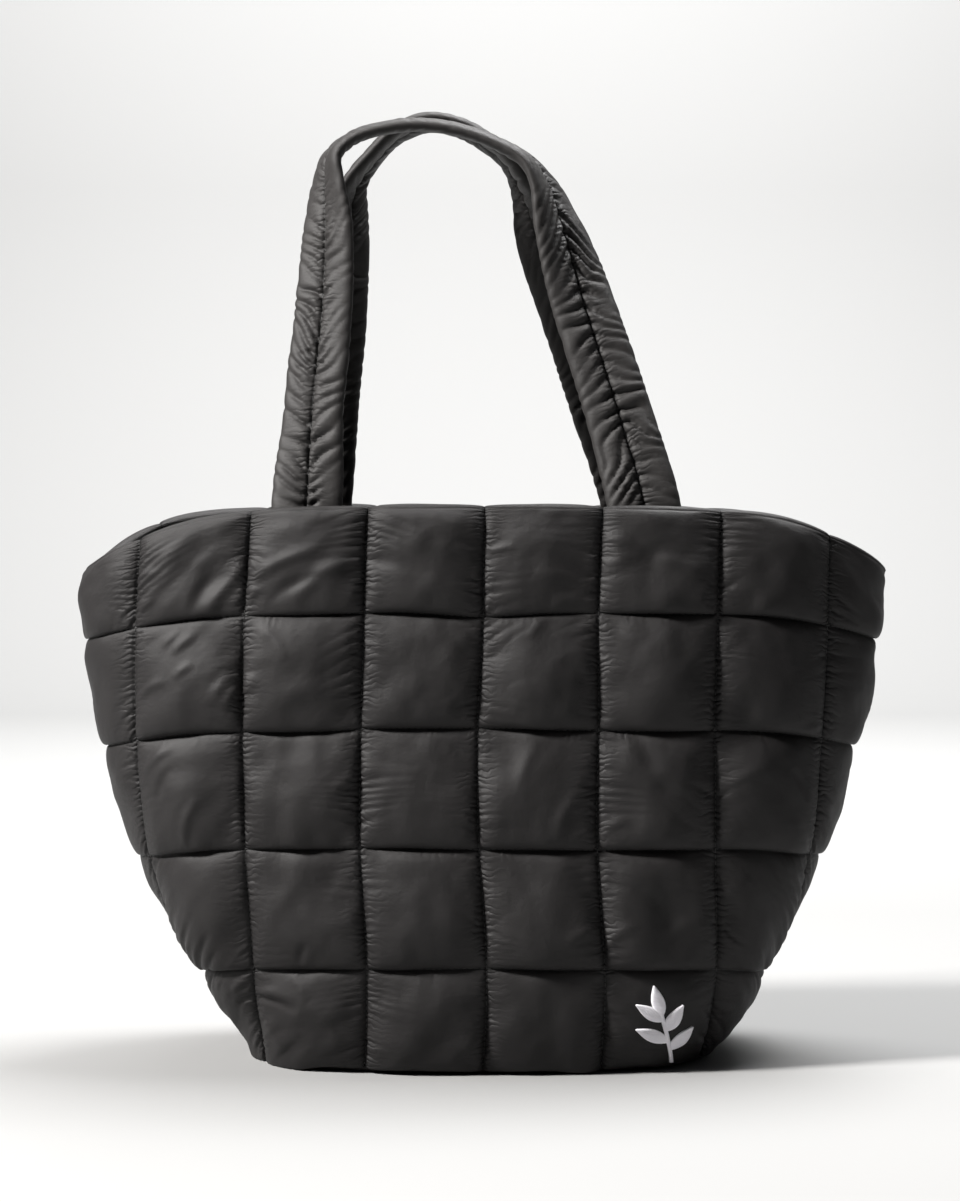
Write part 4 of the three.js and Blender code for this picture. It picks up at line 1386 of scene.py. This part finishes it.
def cloth_material(name, dark, light, roughness, crease_depth, pucker_depth):
    """Nylon between two near-black colours, with a bump of fine creases, one of puckers and one of threads.
    Shade is painted into its colour in the grooves of the seams, which makes it darker there, and it is
    duller there."""
    material = bpy.data.materials.new(name)
    material.use_nodes = True
    tree = material.node_tree
    shader = tree.nodes["Principled BSDF"]
    shader.inputs["Specular IOR Level"].default_value = 0.22
    weave, puckers = tree.nodes.new("ShaderNodeGroup"), tree.nodes.new("ShaderNodeGroup")
    weave.node_tree, puckers.node_tree = WEAVE, PUCKERS
    colour, painted_shade_mix = colour_mix(tree, dark, light), colour_mix(tree, second=PAINTED_GROOVE_SHADE)
    rough = map_range(tree, roughness - 0.06, roughness + 0.06)
    duller = arithmetic(tree, "MAXIMUM", rough.outputs["Result"], puckers.outputs["Groove"])
    creases, ridges, threads = (
        bump_node(tree, crease_depth, 0.6),
        bump_node(tree, pucker_depth, 1.0),
        bump_node(tree, 0.00006, 0.5),
    )
    link_all(
        tree,
        (weave.outputs["Shade"], colour.inputs["Factor"]),
        (colour.outputs["Result"], painted_shade_mix.inputs["A"]),
        (puckers.outputs["Groove"], painted_shade_mix.inputs["Factor"]),
        (painted_shade_mix.outputs["Result"], shader.inputs["Base Color"]),
        (weave.outputs["Shade"], rough.inputs["Value"]),
        (duller, shader.inputs["Roughness"]),
        (weave.outputs["Creases"], creases.inputs["Height"]),
        (puckers.outputs["Height"], ridges.inputs["Height"]),
        (creases.outputs["Normal"], ridges.inputs["Normal"]),
        (weave.outputs["Height"], threads.inputs["Height"]),
        (ridges.outputs["Normal"], threads.inputs["Normal"]),
        (threads.outputs["Normal"], shader.inputs["Normal"]),
    )
    return material


NYLON = cloth_material(
    "black_nylon",
    dark=(0.0105, 0.0097, 0.0098),
    light=(0.0175, 0.0162, 0.0162),
    roughness=0.55,
    crease_depth=0.0005,
    pucker_depth=0.0008,
)
# painted light: the same nylon with paler colours, for the light that the gathered straps catch
STRAP_NYLON_PAINTED_PALER = cloth_material(
    "strap_nylon",
    dark=(0.017, 0.0159, 0.0156),
    light=(0.027, 0.0253, 0.0247),
    roughness=0.55,
    crease_depth=0.0005,
    pucker_depth=0.0009,
)
print("cloth:", NYLON.name, STRAP_NYLON_PAINTED_PALER.name)


# %% Dress the padded pieces
def soft_part(piece, node, material):
    """Dresses a padded piece, hangs it from the root and hides the solid that it stands for."""
    piece.data.materials.append(material)
    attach(piece, "root")
    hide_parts(node)


for panel in ("front", "back"):
    soft_part(panels[panel], f"{panel}_panel", NYLON)
    soft_part(handles[panel], f"{panel}_handle", STRAP_NYLON_PAINTED_PALER)
soft_part(base, "base_panel", NYLON)
print("padded pieces dressed:", 2 * len(panels) + 1)

# %% [markdown]
# ## The thread's finish
#
# Sewing thread is twisted from fine fibres, and satin stitch shines along its threads. The stitches
# themselves are geometry, so the material only needs a fine grain for the fibres and, on the white thread,
# a little sheen.

# %% The thread's finish
def thread_material(name, colour, roughness, sheen):
    """Thread with a grain of fibres: fine noise over the object's own coordinates gives it a bump and a
    slight change of shade and roughness."""
    material = bpy.data.materials.new(name)
    material.use_nodes = True
    tree = material.node_tree
    shader = tree.nodes["Principled BSDF"]
    shader.inputs["Sheen Weight"].default_value = sheen
    place = tree.nodes.new("ShaderNodeTexCoord")
    fibres = noise_texture(tree, 900, Detail=2)
    shade = colour_mix(tree, [0.86 * channel for channel in colour], colour)
    rough = map_range(tree, roughness - 0.08, roughness + 0.08)
    bump = bump_node(tree, 0.00008, 0.6)
    link_all(
        tree,
        (place.outputs["Object"], fibres.inputs["Vector"]),
        (fibres.outputs["Fac"], shade.inputs["Factor"]),
        (shade.outputs["Result"], shader.inputs["Base Color"]),
        (fibres.outputs["Fac"], rough.inputs["Value"]),
        (rough.outputs["Result"], shader.inputs["Roughness"]),
        (fibres.outputs["Fac"], bump.inputs["Height"]),
        (bump.outputs["Normal"], shader.inputs["Normal"]),
    )
    return material


BLACK_THREAD = thread_material("black_thread", (0.02, 0.019, 0.019), 0.5, 0.0)
WHITE_THREAD = thread_material("white_thread", (0.90, 0.88, 0.93), 0.5, 0.2)
for place, piece in threads.items():
    piece.data.materials.append(BLACK_THREAD)
    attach(piece, "root")
sprig.data.materials.append(WHITE_THREAD)
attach(sprig, "root")
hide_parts("stitched_sprig")
print("thread:", BLACK_THREAD.name, WHITE_THREAD.name)

# %% [markdown]
# ## The camera
#
# The photograph was taken from straight ahead, a little above the middle of the bag. The distance is a
# guess: from about two metres the back of the rim shows much as it does there. The picture's middle lies
# below the level of the eye, and a shift of the lens does that without making the upright lines lean.

# %% The camera
EYE = (-0.0031, -1.9, 0.346)
PHOTO_HEIGHT = 1201
PIXELS_PER_METRE = 1000 / 0.62  # of the photograph, at the bag's middle
LENS_DROP = 110.5  # pixels from the eye's level down to the picture's middle
SENSOR = 36
camera = bpy.data.objects.new("camera", bpy.data.cameras.new("camera"))
bpy.context.scene.collection.objects.link(camera)
camera.location = EYE
camera.rotation_euler = (np.pi / 2, 0, 0)
camera.data.sensor_width = SENSOR
camera.data.lens = SENSOR * PIXELS_PER_METRE * -EYE[1] / PHOTO_HEIGHT
camera.data.shift_y = -LENS_DROP / PHOTO_HEIGHT
camera.data.clip_end = 20
bpy.context.scene.camera = camera
print(f"lens: {camera.data.lens:.2f} mm")

# %% [markdown]
# ## The paper
#
# Behind the bag is the usual sheet of pale paper, which runs from the floor up the wall without a corner.
# It is far enough behind the bag that other views don't meet it.

# %% The paper sweep
SWEEP_FRONT = -1.3
SWEEP_BACK = 2.8
SWEEP_RADIUS = 0.9
SWEEP_TOP = 3.5
SWEEP_HALF_WIDTH = 2.4


def paper_sweep():
    """A sheet that is flat on the floor, a quarter circle behind the bag, then upright."""
    turn = np.linspace(0, np.pi / 2, 25)
    floor = np.linspace(SWEEP_FRONT, SWEEP_BACK, 20)[:-1]
    y = np.concatenate([floor, SWEEP_BACK + SWEEP_RADIUS * np.sin(turn), [SWEEP_BACK + SWEEP_RADIUS]])
    z = np.concatenate([np.zeros(len(floor)), SWEEP_RADIUS * (1 - np.cos(turn)), [SWEEP_TOP]])
    x = np.linspace(-SWEEP_HALF_WIDTH, SWEEP_HALF_WIDTH, 3)
    points = np.stack(np.broadcast_arrays(x[None, :], y[:, None], z[:, None]), -1)
    return make_piece("paper_sweep", points.reshape(-1, 3), grid_faces(len(y), len(x)))


sweep = paper_sweep()
paper = bpy.data.materials.new("pale_paper")
paper.use_nodes = True
paper.node_tree.nodes["Principled BSDF"].inputs["Base Color"].default_value = (0.235, 0.235, 0.2335, 1)
paper.node_tree.nodes["Principled BSDF"].inputs["Roughness"].default_value = 0.9
sweep.data.materials.append(paper)

# %% [markdown]
# ## The lights
#
# One fairly small light high on the left grazes the front, so every fold and seam has a bright and a dark
# side. No light fills the front from the right, and the world is dim, which keeps the nylon black. Three
# larger lights above and behind the bag brighten the wall, the far floor and the shadow, and hardly touch
# the bag's front.

# %% The lights
# name: place, aim, size in metres, power in watts, colour
LIGHTS = {
    "key": ((-1.9, -0.8, 2.05), (0, 0, 0.25), 0.4, 235, (1.0, 0.98, 0.96)),
    "back_paper": ((0.15, 1.3, 3.1), (0.1, 3.5, 0.9), 2.2, 140, (1, 1, 1)),
    "wall_light": ((0.1, 1.7, 2.2), (0.1, 3.7, 1.2), 2.0, 138, (1, 1, 1)),
    "floor_light": ((0.6, 0.45, 2.4), (0.25, -0.2, 0), 1.2, 115, (1, 1, 1)),
}
for name, (place, aim, size, power, colour) in LIGHTS.items():
    light = bpy.data.objects.new(name, bpy.data.lights.new(name, "AREA"))
    light.data.size = size
    light.data.energy = power
    light.data.color = colour
    light.location = place
    light.rotation_euler = (Vector(aim) - Vector(place)).to_track_quat("-Z", "Y").to_euler()
    bpy.context.scene.collection.objects.link(light)
world = bpy.data.worlds.new("studio")
bpy.context.scene.world = world
world.use_nodes = True
world.node_tree.nodes["Background"].inputs["Color"].default_value = (0.95, 0.96, 1.0, 1)
world.node_tree.nodes["Background"].inputs["Strength"].default_value = 0.04
bpy.context.scene.view_settings.view_transform = "Standard"
print("lights:", ", ".join(LIGHTS))
